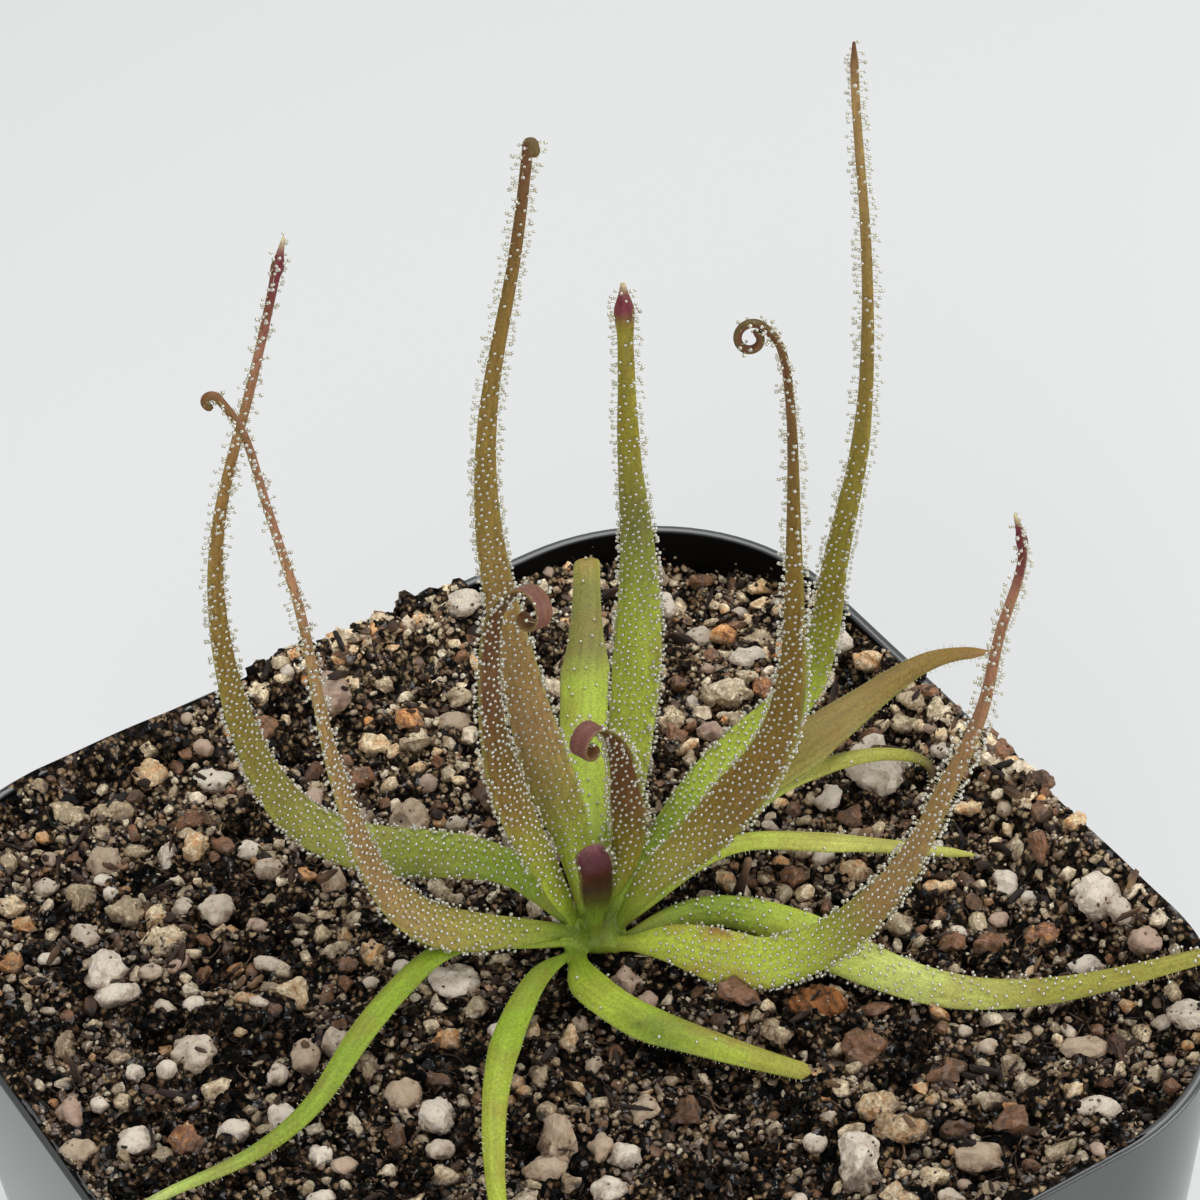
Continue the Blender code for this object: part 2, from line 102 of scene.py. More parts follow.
# grains and fibres start above everything and are dropped onto the soil, by no more than this
ABOVE_ALL = POT_HEIGHT + 20 * MM
DROP = 100 * MM
CHIP_PLANES = 6
FIBRE_COUNT = 520
FIBRE_STEP = 0.45 * MM
# a dead leaf's stub, by the pixel of the photograph where it stands
STUB_FOOT = (736, 904)
STUB_HEIGHT = 4.6 * MM
STUB_WIDTH = 0.85 * MM
STUB_LEAN = 0.9 * MM
STUB_ROOT = 1 * MM

# Crown and leaves
CROWN = Vector((3.6, -0.1, 65.5)) * MM
FRONT_TURN = math.radians(-29.5)
LEAF_STEP = 0.42 * MM
CURL_STEP = 0.14 * MM
LEAF_SIDES = 22
LEAF_ROOT = 2.0 * MM
CROWN_RADIUS = 1.5 * MM
CROWN_RISE = 1.1 * MM
CROWN_REACH = 0.9 * MM
CROWN_SINK = 0.35 * MM
CROWN_GRAIN = 0.15 * MM
FOOT_SIDES = 12
# a leaf's length where only its foot is drawn
USUAL_LENGTH = 50 * MM
FOOT_NARROWING = 0.45
FOOT_LENGTH = 3.5 * MM
# how far from the crown's middle the painted shade of the knot reaches
KNOT_SHADOW_REACH = 4.2 * MM
LEAF_THICKNESS = 0.56 * MM
LEAF_CAMBER = 0.30
TIP_ROUND = 2.4 * MM
BUD_FROM_TIP = 2.2 * MM
BUD_REACH = 1.3 * MM
# how a leaf's edges waver, and how its dew, beads and stains come and go along it
EDGE_WAVER = 0.05
WAVER_LENGTH = 3.1 * MM
BARE_FOOT = 1.2 * MM
BARE_FADE = 2.5 * MM
BEADS_FROM = 2.5 * MM
BEADS_FADE = 5 * MM
THREAD_HALF = 0.45 * MM
BLADE_FADE = 0.6 * MM
STAIN_GRAIN = 0.9 * MM


# Small tools


def clamped(value):
    """The value, held between 0 and 1."""
    return min(1.0, max(0.0, value))


def linear(colour):
    """An sRGB hex colour as linear red, green, blue and alpha."""
    parts = [int(colour[i : i + 2], 16) / 255 for i in (1, 3, 5)]
    return (*(c / 12.92 if c <= 0.04045 else ((c + 0.055) / 1.055) ** 2.4 for c in parts), 1.0)


def paint(colour):
    """An sRGB hex colour as an array of linear red, green and blue."""
    return np.array(linear(colour)[:3])


def blend(colour, other, share):
    """A colour mixed with a share of another."""
    return colour * (1 - share) + other * share


def connect(tree, node, inputs):
    """Sets a node's inputs. Each is a value, a socket, or a node for its first live output."""
    for key, value in inputs.items():
        socket = node.inputs[key] if isinstance(key, int) else None
        if socket is None:
            socket = next(one for one in node.inputs if one.name == key and one.enabled)
        if isinstance(value, bpy.types.Node):
            value = next(output for output in value.outputs if output.enabled)
        if isinstance(value, bpy.types.NodeSocket):
            tree.links.new(value, socket)
        else:
            socket.default_value = value


def add(tree, kind, inputs=None, stops=None, **settings):
    """Adds a node with its settings and links. Stops are the places and colours of a ramp."""
    made = tree.nodes.new(kind)
    for setting, value in settings.items():
        setattr(made, setting, value)
    connect(tree, made, inputs or {})
    if stops:
        ramp = made.color_ramp.elements
        while len(ramp) < len(stops):
            ramp.new(1.0)
        for element, (place, colour) in zip(ramp, stops):
            element.position = place
            element.color = linear(colour)
    return made


def start_material(name, uniform):
    """A material, its node tree and its shader, with the values that are the same all over."""
    material = bpy.data.materials.new(name)
    material.use_nodes = True
    shader = material.node_tree.nodes["Principled BSDF"]
    connect(material.node_tree, shader, uniform)
    return material, material.node_tree, shader


def wire_surface(tree, shader, colour, matt, bumps=None, more=None):
    """Wires a shader: its colour, its roughness (source, least, most), its bumps (source, strength,
    rise in millimetres) and any more inputs."""
    source, least, most = matt
    rough = add(tree, "ShaderNodeMapRange", {"Value": source, "To Min": least, "To Max": most})
    inputs = {"Base Color": colour, "Roughness": rough, **(more or {})}
    if bumps:
        source, strength, rise = bumps
        settings = {"Strength": strength, "Distance": rise * MM, "Height": source}
        inputs["Normal"] = add(tree, "ShaderNodeBump", settings)
    connect(tree, shader, inputs)


def add_object(name, data):
    """Puts a mesh, a lamp or a camera into the scene, at the origin."""
    thing = bpy.data.objects.new(name, data)
    bpy.context.scene.collection.objects.link(thing)
    return thing


def write_values(mesh, named):
    """Gives a mesh named numbers or vectors at its points."""
    for key, values in named.items():
        values = np.asarray(values, dtype=np.float32)
        kind, slot = ("FLOAT_VECTOR", "vector") if values.ndim == 2 else ("FLOAT", "value")
        mesh.attributes.new(key, kind, "POINT").data.foreach_set(slot, values.ravel())


def add_mesh(name, points, faces, material=None, attributes=None, edges=()):
    """A smooth mesh object at the origin, with any named numbers or vectors at its points."""
    mesh = bpy.data.meshes.new(name)
    mesh.from_pydata([tuple(point) for point in points], edges, faces)
    write_values(mesh, attributes or {})
    mesh.update()
    if faces:
        mesh.shade_smooth()
    if material:
        mesh.materials.append(material)
    return add_object(name, mesh)


def plain_mesh(thing, **how):
    """A mesh with an object's modifiers worked into it."""
    graph = bpy.context.evaluated_depsgraph_get()
    return bpy.data.meshes.new_from_object(thing.evaluated_get(graph), depsgraph=graph, **how)


def new_tree(name, sockets):
    """A Geometry Nodes tree with its named inputs, and its first and last nodes."""
    tree = bpy.data.node_groups.new(name, "GeometryNodeTree")
    tree.interface.new_socket("Geometry", in_out="INPUT", socket_type="NodeSocketGeometry")
    tree.interface.new_socket("Geometry", in_out="OUTPUT", socket_type="NodeSocketGeometry")
    for socket, kind in sockets.items():
        tree.interface.new_socket(socket, in_out="INPUT", socket_type="NodeSocket" + kind)
    return tree, tree.nodes.new("NodeGroupInput").outputs, tree.nodes.new("NodeGroupOutput")


def grow(name, carrier, tree, inputs):
    """Runs a Geometry Nodes tree on an object, and puts a plain mesh object in its place."""
    modifier = carrier.modifiers.new(name, "NODES")
    modifier.node_group = tree
    for socket in tree.interface.items_tree:
        if socket.in_out == "INPUT" and socket.name in inputs:
            modifier[socket.identifier] = inputs[socket.name]
    carrier.update_tag()
    mesh = plain_mesh(carrier, preserve_all_data_layers=True)
    bpy.data.objects.remove(carrier)
    mesh.name = name
    return add_object(name, mesh)


def merged_copy(name, things):
    """One mesh object from several, for a tree to work on."""
    merged = bmesh.new()
    for thing in things:
        merged.from_mesh(thing.data)
    mesh = bpy.data.meshes.new(name)
    merged.to_mesh(mesh)
    merged.free()
    return add_object(name, mesh)


def place_piece(piece, slot, *nodes):
    """Lets a finished piece ride on the one body and stand for its solids; its slot is not used."""
    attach(piece, "root")
    if nodes:
        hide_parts(*nodes)


# Camera, light and floor


def camera_axes():
    """The camera's right, upward and backward directions."""
    back = Vector((
        math.sin(CAMERA_TURN) * math.cos(CAMERA_HEIGHT),
        -math.cos(CAMERA_TURN) * math.cos(CAMERA_HEIGHT),
        math.sin(CAMERA_HEIGHT),
    ))
    right = Vector((math.cos(CAMERA_TURN), math.sin(CAMERA_TURN), 0))
    up = back.cross(right)
    rolled_right = right * math.cos(CAMERA_ROLL) + up * math.sin(CAMERA_ROLL)
    return rolled_right, back.cross(rolled_right), back


def build_camera():
    """The camera of the photograph."""
    right, up, back = camera_axes()
    data = bpy.data.cameras.new("camera")
    data.sensor_width = SENSOR
    data.lens = CAMERA_LENS
    data.clip_start = 10 * MM
    camera = add_object("camera", data)
    facing = Matrix((right, up, back)).transposed().to_4x4()
    camera.matrix_world = Matrix.Translation(CAMERA_AIM + back * CAMERA_DISTANCE) @ facing
    bpy.context.scene.camera = camera


def build_light(name, place, size, power):
    """A square white soft box that faces the plant."""
    data = bpy.data.lights.new(name, "AREA")
    data.size = size
    data.energy = power
    lamp = add_object(name, data)
    lamp.location = place
    lamp.rotation_euler = (CROWN - Vector(place)).to_track_quat("-Z", "Y").to_euler()


def build_studio():
    """A pale seamless floor and surroundings, with soft boxes above, behind and in front."""
    bpy.context.scene.view_settings.view_transform = "Standard"
    world = bpy.data.worlds.new("studio")
    bpy.context.scene.world = world
    world.use_nodes = True
    sky = world.node_tree.nodes["Background"]
    sky.inputs["Color"].default_value = linear("#f2f4f4")
    sky.inputs["Strength"].default_value = 0.50

    build_light("overhead_box", (0.14, 0.16, 0.50), 0.34, 1.15)
    build_light("left_box", (-0.36, -0.34, 0.30), 0.30, 1.10)
    build_light("right_box", (0.36, -0.34, 0.30), 0.30, 1.15)

    paper, _, _ = start_material("matt_paper", {
        "Base Color": linear("#e6e7e7"), "Roughness": 0.9, "Specular IOR Level": 0.1,
    })
    reach = 3.0
    corners = [(-reach, -reach, 0), (reach, -reach, 0), (reach, reach, 0), (-reach, reach, 0)]
    floor = add_mesh("floor", corners, [(0, 1, 2, 3)], paper)


# Pot


def rounded_square(half, corner, z, steps=20):
    """Points round a square with rounded corners, at height z."""
    points = []
    for quarter in range(4):
        turn = quarter * math.pi / 2
        centre = Matrix.Rotation(turn, 3, "Z") @ Vector((half - corner, half - corner, 0))
        for step in range(steps + 1):
            angle = turn + step / steps * math.pi / 2
            points.append(centre + Vector((corner * math.cos(angle), corner * math.sin(angle), z)))
    return points


def pot_ring(z, inward=0.0):
    """The pot's outline at height z, moved inwards by a wall's thickness or a rounding."""
    narrowing = (POT_HEIGHT - z) * POT_TAPER + inward
    return rounded_square(POT_SIDE / 2 - narrowing, POT_CORNER - narrowing, z)


def circle(centre, radius, count):
    """Points round a level circle."""
    angles = [k * math.pi / (count / 2) for k in range(count)]
    return [centre + Vector((radius * math.cos(angle), radius * math.sin(angle), 0)) for angle in angles]


def skin_rings(rings):
    """Points and faces of a closed skin through rings of equal length."""
    points = [point for ring in rings for point in ring]
    count = len(rings[0])
    faces = []
    for row in range(len(rings) - 1):
        for i in range(count):
            after = (i + 1) % count
            low, high = row * count, (row + 1) * count
            faces.append((low + i, low + after, high + after, high + i))
    faces.append(tuple(reversed(range(count))))
    faces.append(tuple(range(len(points) - count, len(points))))
    return points, faces


def join_skins(skins):
    """Points and faces of several skins as one."""
    points, faces = [], []
    for more_points, more_faces in skins:
        start = len(points)
        points += more_points
        faces += [tuple(start + i for i in face) for face in more_faces]
    return points, faces


def black_polypropylene():
    """Moulded polypropylene: satin black that pales at a glancing angle, with painted shade inside, where
    the wall is near black and dull.
    """
    material, tree, shader = start_material("moulded_polypropylene", {"IOR": 1.5, "Coat Roughness": 0.14})
    inside = add(tree, "ShaderNodeAttribute", attribute_name="inside").outputs["Fac"]
    place = add(tree, "ShaderNodeTexCoord").outputs["Object"]
    fine = add(tree, "ShaderNodeTexNoise", {"Vector": place, "Scale": 1 / (0.5 * MM), "Detail": 3.0})
    cloud = add(tree, "ShaderNodeTexNoise", {"Vector": place, "Scale": 1 / (14 * MM), "Detail": 4.0})
    colour = add(tree, "ShaderNodeValToRGB", {"Fac": cloud}, stops=[(0.3, "#2a2c2e"), (0.7, "#363839")])
    # painted shade: inside, the wall is mixed to near black, and its gloss and coat are turned down
    shaded_inside = add(
        tree, "ShaderNodeMix", {"Factor": inside, "A": colour, "B": linear("#070605")}, data_type="RGBA",
    )
    sheen = add(tree, "ShaderNodeMapRange", {"Value": inside, "To Min": 0.95, "To Max": 0.0})
    gloss = add(tree, "ShaderNodeMapRange", {"Value": inside, "To Min": 0.5, "To Max": 0.08})
    more = {"Specular IOR Level": gloss, "Coat Weight": sheen}
    wire_surface(tree, shader, shaded_inside, (cloud, 0.34, 0.44), (fine, 0.12, 0.01), more)
    return material


def build_pot():
    """The thin tapered wall with a rolled lip, and the floor with its drain holes."""
    middle = POT_WALL / 2
    lip = []
    for step in range(LIP_STEPS + 1):
        angle = math.pi * step / LIP_STEPS
        height = POT_HEIGHT - RIM_ROUND + RIM_ROUND * math.sin(angle)
        lip.append(pot_ring(height, inward=middle - middle * math.cos(angle)))
    rings = [
        pot_ring(0, inward=POT_HEEL),
        pot_ring(POT_HEEL * 0.12, inward=POT_HEEL * 0.55),
        pot_ring(POT_HEEL * 0.45, inward=POT_HEEL * 0.16),
        pot_ring(POT_HEEL),
        *lip,
        pot_ring(POT_FLOOR + POT_HEEL, inward=POT_WALL),
        pot_ring(POT_FLOOR, inward=POT_WALL + POT_HEEL),
    ]
    # the painted shade inside starts at the inner edge of the lip
    shade_from = len(rings) - 4
    inner = [0.0 if row < shade_from else 1.0 for row, ring in enumerate(rings) for _ in ring]
    pot = add_mesh("black_pot", *skin_rings(rings), black_polypropylene(), {"inside": inner})
    bores = []
    for x, y in itertools.product((-DRAIN_OFFSET, DRAIN_OFFSET), repeat=2):
        ends = [Vector((x, y, z)) for z in (-POT_FLOOR, POT_FLOOR * 2)]
        bores.append(skin_rings([circle(end, DRAIN_RADIUS, DRAIN_SIDES) for end in ends]))
    drill = add_mesh("drill", *join_skins(bores))
    pot.modifiers.new("drains", "BOOLEAN").object = drill
    bored = plain_mesh(pot)
    pot.modifiers.clear()
    pot.data = bored
    bored.set_sharp_from_angle(angle=SHARP_ANGLE)
    bpy.data.objects.remove(drill)
    place_piece(pot, "pot_plastic", "pot")
    return pot


# Leaf colours
CROWN_GREEN = "#7e982c"
LEAF_GREEN = "#84982e"
FRESH_GREEN = "#8ca62a"
YELLOW_GREEN = "#a2ae3c"
# partly a leaf's own pale green and partly a painted highlight
PALE_GREEN_AND_HIGHLIGHT = "#c4cc70"
PALE_YELLOW = "#b8ba5c"
OLIVE = "#948a2e"
DULL_OLIVE = "#80803c"
MOSS_OLIVE = "#9e9c4a"
OLIVE_LIGHT = "#9c9440"
DARK_OLIVE = "#4e4c14"
OLIVE_BROWN = "#92793a"
TAN = "#8e7c42"
SAND_BROWN = "#a88756"
BROWN = "#947040"
PINK_BROWN = "#a4745a"
DARK_BROWN = "#684428"
PURPLE = "#5a2c34"
PLUM = "#7a5046"
RED_TIP = "#74303a"
PALE_TIP = "#cfc09a"
WAXY_GREEN = "#a8b85c"
LIME_GREEN = "#aabc40"
DULL_YELLOW = "#9c9a40"
UMBER_OLIVE = "#84692c"
RUST = "#b07a3c"
# a dark green painted on a leaf as shade
SHADOW_PATCH_GREEN = "#4c5618"
BUD_BROWN = "#3c281c"
BUD_SHADE = "#4c241e"
# the bud's top: its own purple, lightened by a painted highlight along the top
BUD_TOP_AND_HIGHLIGHT = "#7c5054"
BRIGHT_GREEN = "#b8c848"
DEAD_TIP = "#46382a"
GREY_GREEN = "#a4a67c"
# a deep green painted as shade at the crown's middle
KNOT_SHADOW_GREEN = "#3a5010"


class Leaf(NamedTuple):
    """One leaf. Route points are millimetres right, away and up from the crown.

    foot, blade and thread are its widths in millimetres where it leaves the crown, at its widest
    and at its end, widest the share of its length where the blade is, and fade how soon it narrows
    from there. roll turns its face about its length, in degrees at the foot and at the tip. curl is
    the first and last radius in millimetres and the turns of a coiled tip, bud the width of a
    swollen one, and tip the share of the thread's width that is left at the very end, or 1 where
    the end is round.
    stops are the colours along its face, back the colour behind (or, without one, pale_back how
    waxy the face's colour turns there), and dots and beads say how full of droplets its face and
    its margins are. Each stain, or patch of painted shade, is a first and last share of the length, a
    place across from -1 to 1 and a colour.
    """

    route: tuple
    blade: float
    thread: float
    stops: tuple
    foot: float
    widest: float = 0.2
    fade: float = 2.0
    roll: tuple = (0, 0)
    curl: tuple = ()
    bud: float = 0
    tip: float = 0.35
    back: str = ""
    dots: float = 1.0
    beads: float = 1.0
    pale_back: float = 0.4
    stains: tuple = ()


LEAVES = {
    "leaf_far_left": Leaf(
        route=(
            (-2.2, 1.2, 0.6), (-5.6, 3.0, 3.8), (-10.7, 4.3, 4.6), (-16.1, 5.6, 4.6), (-20.0, 6.3, 6.7),
            (-22.7, 7.1, 11.8), (-24.2, 8.0, 22.0), (-23.5, 9.1, 31.5), (-20.6, 10.6, 41.0),
            (-17.0, 12.5, 52.8),
        ),
        blade=3.7, thread=0.8, widest=0.2, roll=(-25, 0), bud=1.1, foot=1.9,
        stops=(
            (0, CROWN_GREEN), (0.1, LEAF_GREEN), (0.3, MOSS_OLIVE), (0.5, OLIVE_BROWN), (0.74, BROWN),
            (0.87, PINK_BROWN), (0.93, RED_TIP), (0.985, RED_TIP), (1, PALE_TIP),
        ),
    ),
    "leaf_left_front": Leaf(
        route=(
            (-2.6, 0.0, 0.45), (-7.0, -0.7, 1.6), (-10.6, -1.0, 2.8), (-13.4, -1.0, 5.3),
            (-15.6, -0.6, 11.0), (-17.2, 0.3, 20.5), (-18.0, 1.2, 30.7), (-19.6, 2.1, 41.0),
            (-20.6, 2.7, 45.6), (-21.6, 2.9, 47.5),
        ),
        blade=3.6, thread=0.62, widest=0.17, roll=(-20, 0), curl=(0.48, 0.42, -0.65), foot=2.0,
        stops=(
            (0, LEAF_GREEN), (0.08, DULL_YELLOW), (0.24, SAND_BROWN), (0.5, SAND_BROWN), (0.8, PINK_BROWN),
            (1, DARK_BROWN),
        ),
    ),
    "leaf_left_back": Leaf(
        route=(
            (-1.0, 1.85, 1.3), (-1.2, 3.3, 5.2), (-2.5, 5.5, 9.6), (-3.8, 7.8, 15.6), (-5.0, 9.9, 23.0),
            (-5.4, 11.4, 31.0), (-4.4, 12.8, 39.5), (-2.4, 14.0, 48.0), (-0.8, 15.1, 56.9),
        ),
        blade=3.6, thread=0.75, widest=0.16, roll=(0, 15), curl=(0.4, 0.7, 0.52), foot=1.7,
        stops=(
            (0, LIME_GREEN), (0.06, LIME_GREEN), (0.12, OLIVE_LIGHT), (0.22, SAND_BROWN),
            (0.5, OLIVE_BROWN), (0.75, UMBER_OLIVE), (0.93, DARK_BROWN), (1, DARK_BROWN),
        ),
    ),
    "leaf_left_curled": Leaf(
        route=(
            (-1.75, 0.5, 1.4), (-2.6, 0.3, 4.8), (-4.0, 0.4, 9.4), (-5.5, 1.0, 15.5), (-5.9, 1.9, 21.8),
            (-5.7, 2.9, 24.6), (-5.4, 3.1, 26.5), (-4.7, 2.9, 28.6), (-3.6, 2.3, 30.1),
        ),
        blade=3.5, thread=1.5, widest=0.36, roll=(-45, -60), curl=(1.6, 0.6, 0.85), foot=2.0, back=PLUM,
        stops=(
            (0, LIME_GREEN), (0.12, LIME_GREEN), (0.3, OLIVE_BROWN), (0.55, DARK_BROWN), (1, DARK_BROWN),
        ),
    ),
    "leaf_back": Leaf(
        route=(
            (0.3, 2.0, 1.25), (1.8, 4.7, 4.1), (2.9, 9.2, 7.8), (4.0, 15.0, 12.2), (4.6, 18.6, 18.3),
            (4.5, 20.8, 25.9), (4.7, 22.4, 32.5), (4.9, 25.0, 38.1),
        ),
        blade=3.9, thread=1.0, widest=0.38, fade=1.6, bud=1.5, foot=1.9,
        stops=(
            (0, LEAF_GREEN), (0.2, YELLOW_GREEN), (0.45, YELLOW_GREEN), (0.6, DULL_OLIVE), (0.75, OLIVE),
            (0.93, OLIVE), (0.955, RED_TIP), (0.98, RED_TIP), (1, PALE_TIP),
        ),
    ),
    "leaf_back_low": Leaf(
        route=(
            (-0.3, 2.7, 0.15), (0.2, 6.2, 2.8), (0.0, 10.0, 3.6), (-0.1, 16.7, 4.1), (0.4, 24.5, 4.6),
            (1.0, 34.5, 5.3),
        ),
        blade=3.7, thread=2.1, widest=0.66, fade=3.0, tip=0.9,
        foot=2.6, dots=0.12, beads=0.0, stains=((0.7, 0.86, 0.2, TAN), (0.93, 1.05, 0.0, SAND_BROWN)),
        stops=(
            (0, LEAF_GREEN), (0.2, LIME_GREEN), (0.58, LIME_GREEN), (0.7, DULL_OLIVE), (0.9, DULL_OLIVE),
            (1, OLIVE_LIGHT),
        ),
    ),
    "leaf_young_curled": Leaf(
        route=(
            (0.25, 0.65, 2.05), (1.7, 1.4, 4.2), (2.5, 2.0, 6.8), (2.6, 2.6, 10.3), (2.4, 3.0, 13.8),
            (1.9, 2.7, 16.0), (1.1, 2.0, 17.6),
        ),
        blade=2.7, thread=1.5, widest=0.4, roll=(35, 15), curl=(1.25, 0.5, 0.85), foot=1.7, back=PLUM,
        stops=((0, CROWN_GREEN), (0.18, OLIVE), (0.4, DARK_BROWN), (1, DARK_BROWN)),
    ),
    "leaf_centre_bud": Leaf(
        route=((0.0, -0.55, 1.95), (0.25, -0.2, 4.6), (0.1, 0.1, 7.0), (-0.2, -0.1, 8.5)),
        blade=2.6, thread=2.3, widest=0.3, roll=(45, 45), tip=1,
        foot=2.2, bud=2.5, pale_back=0.0, dots=0.0, beads=0.5,
        stops=(
            (0, CROWN_GREEN), (0.22, DARK_OLIVE), (0.4, BUD_BROWN), (0.62, BUD_SHADE), (0.82, PURPLE),
            # the top's purple with a painted highlight
            (0.95, BUD_TOP_AND_HIGHLIGHT), (1, BUD_TOP_AND_HIGHLIGHT),
        ),
    ),
    "leaf_right": Leaf(
        route=(
            (2.0, 0.4, 1.15), (3.6, 0.4, 4.0), (6.9, 0.5, 7.5), (10.0, 1.0, 11.1), (12.5, 1.5, 14.7),
            (14.0, 2.2, 19.0), (14.6, 3.0, 25.0), (14.9, 3.9, 34.5), (15.0, 4.5, 41.0), (14.9, 4.8, 43.8),
            (14.7, 5.1, 45.8), (14.2, 5.4, 47.3), (13.5, 5.6, 48.1),
        ),
        blade=3.7, thread=0.75, widest=0.22, roll=(42, 0), curl=(1.1, 0.45, 1.1), foot=1.9,
        stops=(
            (0, CROWN_GREEN), (0.1, OLIVE_LIGHT), (0.22, UMBER_OLIVE), (0.6, UMBER_OLIVE),
            (0.85, DARK_BROWN), (1, DARK_BROWN),
        ),
    ),
    "leaf_tallest": Leaf(
        route=(
            (1.4, 1.4, 1.25), (4.3, 4.3, 3.3), (7.8, 7.6, 5.4), (12.5, 11.5, 7.7), (15.3, 12.9, 9.6),
            (17.3, 14.5, 13.4), (18.4, 15.8, 19.0), (20.2, 17.4, 26.5), (21.2, 18.9, 35.0),
            (21.3, 20.4, 45.5), (20.9, 21.6, 55.5), (20.9, 22.0, 58.5),
        ),
        blade=3.8, thread=0.6, widest=0.17, roll=(10, 0), foot=1.9,
        stops=(
            (0, CROWN_GREEN), (0.1, LEAF_GREEN), (0.17, LIME_GREEN), (0.3, LIME_GREEN), (0.38, OLIVE),
            (0.7, OLIVE_BROWN), (0.95, SAND_BROWN), (1, DARK_BROWN),
        ),
    ),
    "leaf_tan": Leaf(
        route=(
            (1.6, 2.0, 0.6), (6.35, 5.35, 2.55), (10.6, 8.9, 4.0), (15.3, 12.2, 5.2), (20.9, 16.6, 5.6),
            (25.9, 19.3, 6.4), (30.3, 20.9, 5.2),
        ),
        blade=3.9, thread=0.8, widest=0.52, fade=1.3, roll=(10, 25), foot=1.5, dots=0.0, beads=0.0,
        stops=((0, LEAF_GREEN), (0.35, OLIVE_LIGHT), (0.6, TAN), (0.9, UMBER_OLIVE), (1, BROWN)),
    ),
    "leaf_dipping": Leaf(
        route=(
            (1.0, 2.75, -0.1), (6.2, 5.4, 1.1), (13.2, 10.8, 2.6), (17.6, 12.3, 3.2), (22.8, 13.4, 2.6),
            (25.0, 13.4, 1.0), (24.9, 12.5, -0.6),
        ),
        blade=2.2, thread=0.7, widest=0.42, fade=1.1, roll=(0, 20), foot=1.2, dots=0.05, beads=0.06,
        stops=(
            (0, LIME_GREEN), (0.35, LIME_GREEN), (0.6, PALE_YELLOW), (0.85, DULL_YELLOW), (0.94, DEAD_TIP),
            (1, DEAD_TIP),
        ),
    ),
    "leaf_yellow": Leaf(
        route=(
            (2.4, 1.3, -0.05), (6.0, 3.2, 1.9), (10.0, 5.0, 2.9), (14.3, 5.9, 2.1), (19.9, 6.1, 0.9),
            (27.4, 5.6, -0.5),
        ),
        blade=2.0, thread=0.7, widest=0.6, fade=1.2, foot=1.2, dots=0.05, beads=0.06,
        stops=((0, LEAF_GREEN), (0.3, LIME_GREEN), (0.6, PALE_YELLOW), (1, PALE_YELLOW)),
    ),
    "leaf_long_low": Leaf(
        route=(
            (2.7, -0.1, -0.35), (7.1, 1.2, 0.3), (12.4, -0.5, 0.6), (17.3, -4.0, 0.4), (23.9, -7.8, 0.1),
            (31.6, -9.3, 0.9), (41.0, -9.8, 3.6), (51.0, -8.6, 4.6),
        ),
        blade=3.6, thread=0.8, widest=0.3, fade=1.3, roll=(10, 0), foot=2.0, dots=0.5, beads=0.2,
        stops=(
            # the pale stop at 0.4 is partly the leaf's own colour and partly a painted highlight
            (0, CROWN_GREEN), (0.12, LEAF_GREEN), (0.22, LIME_GREEN), (0.4, PALE_GREEN_AND_HIGHLIGHT), (0.6, DULL_YELLOW),
            (0.85, OLIVE_LIGHT), (0.93, SAND_BROWN), (1, PINK_BROWN),
        ),
    ),
    "leaf_right_front": Leaf(
        route=(
            (2.3, -1.4, 0.1), (5.5, -2.6, 0.9), (10.8, -4.8, 0.8), (14.6, -5.3, 2.2), (18.4, -5.6, 5.8),
            (21.3, -5.8, 10.4), (23.8, -6.0, 17.0), (26.4, -6.0, 24.6), (27.6, -6.0, 31.5),
            (28.8, -6.0, 38.4), (28.3, -6.0, 40.7),
        ),
        blade=4.0, thread=0.8, widest=0.14, roll=(38, 10), bud=1.0,
        foot=2.1, stains=((0.03, 0.17, -0.9, RUST), (0.05, 0.2, 0.9, RUST)),
        stops=(
            (0, LIME_GREEN), (0.08, BRIGHT_GREEN), (0.2, BRIGHT_GREEN), (0.3, DULL_YELLOW),
            (0.36, SAND_BROWN), (0.55, SAND_BROWN), (0.75, PINK_BROWN), (0.88, PINK_BROWN), (0.93, RED_TIP),
            (0.985, RED_TIP), (1, PALE_TIP),
        ),
    ),
    "leaf_front_right": Leaf(
        route=(
            (-1.5, -2.6, -0.25), (-1.1, -4.6, 0.3), (0.3, -6.9, 0.6), (3.0, -9.7, 0.9), (6.5, -11.4, 0.5),
            (10.5, -13.2, 0.1), (13.9, -14.4, -0.4),
        ),
        blade=2.9, thread=1.3, widest=0.45, fade=1.1, roll=(10, 15), tip=1,
        # the dark green patch on the blade is painted shade
        foot=2.7, dots=0.05, beads=0.0, stains=((0.3, 0.6, 0.4, SHADOW_PATCH_GREEN), (0.45, 0.95, -0.7, TAN)),
        stops=(
            (0, FRESH_GREEN), (0.25, LIME_GREEN), (0.5, LEAF_GREEN), (0.75, YELLOW_GREEN), (1, OLIVE_LIGHT),
        ),
    ),
    "leaf_front": Leaf(
        route=(
            (-2.5, -2.1, -0.25), (-3.8, -4.2, 1.0), (-5.7, -8.4, 1.6), (-7.2, -14.0, 1.8),
            (-7.8, -20.4, 0.9), (-7.0, -32.0, -0.4),
        ),
        blade=2.2, thread=0.8, widest=0.35, fade=1.2, foot=1.5, dots=0.0, beads=0.0,
        stops=(
            (0, CROWN_GREEN), (0.1, LEAF_GREEN), (0.3, FRESH_GREEN), (0.55, YELLOW_GREEN), (1, LIME_GREEN),
        ),
    ),
    "leaf_front_left": Leaf(
        route=(
            (-2.6, -0.5, -0.3), (-6.4, -0.2, 0.0), (-9.7, -0.9, 0.7), (-13.6, -5.0, 1.5),
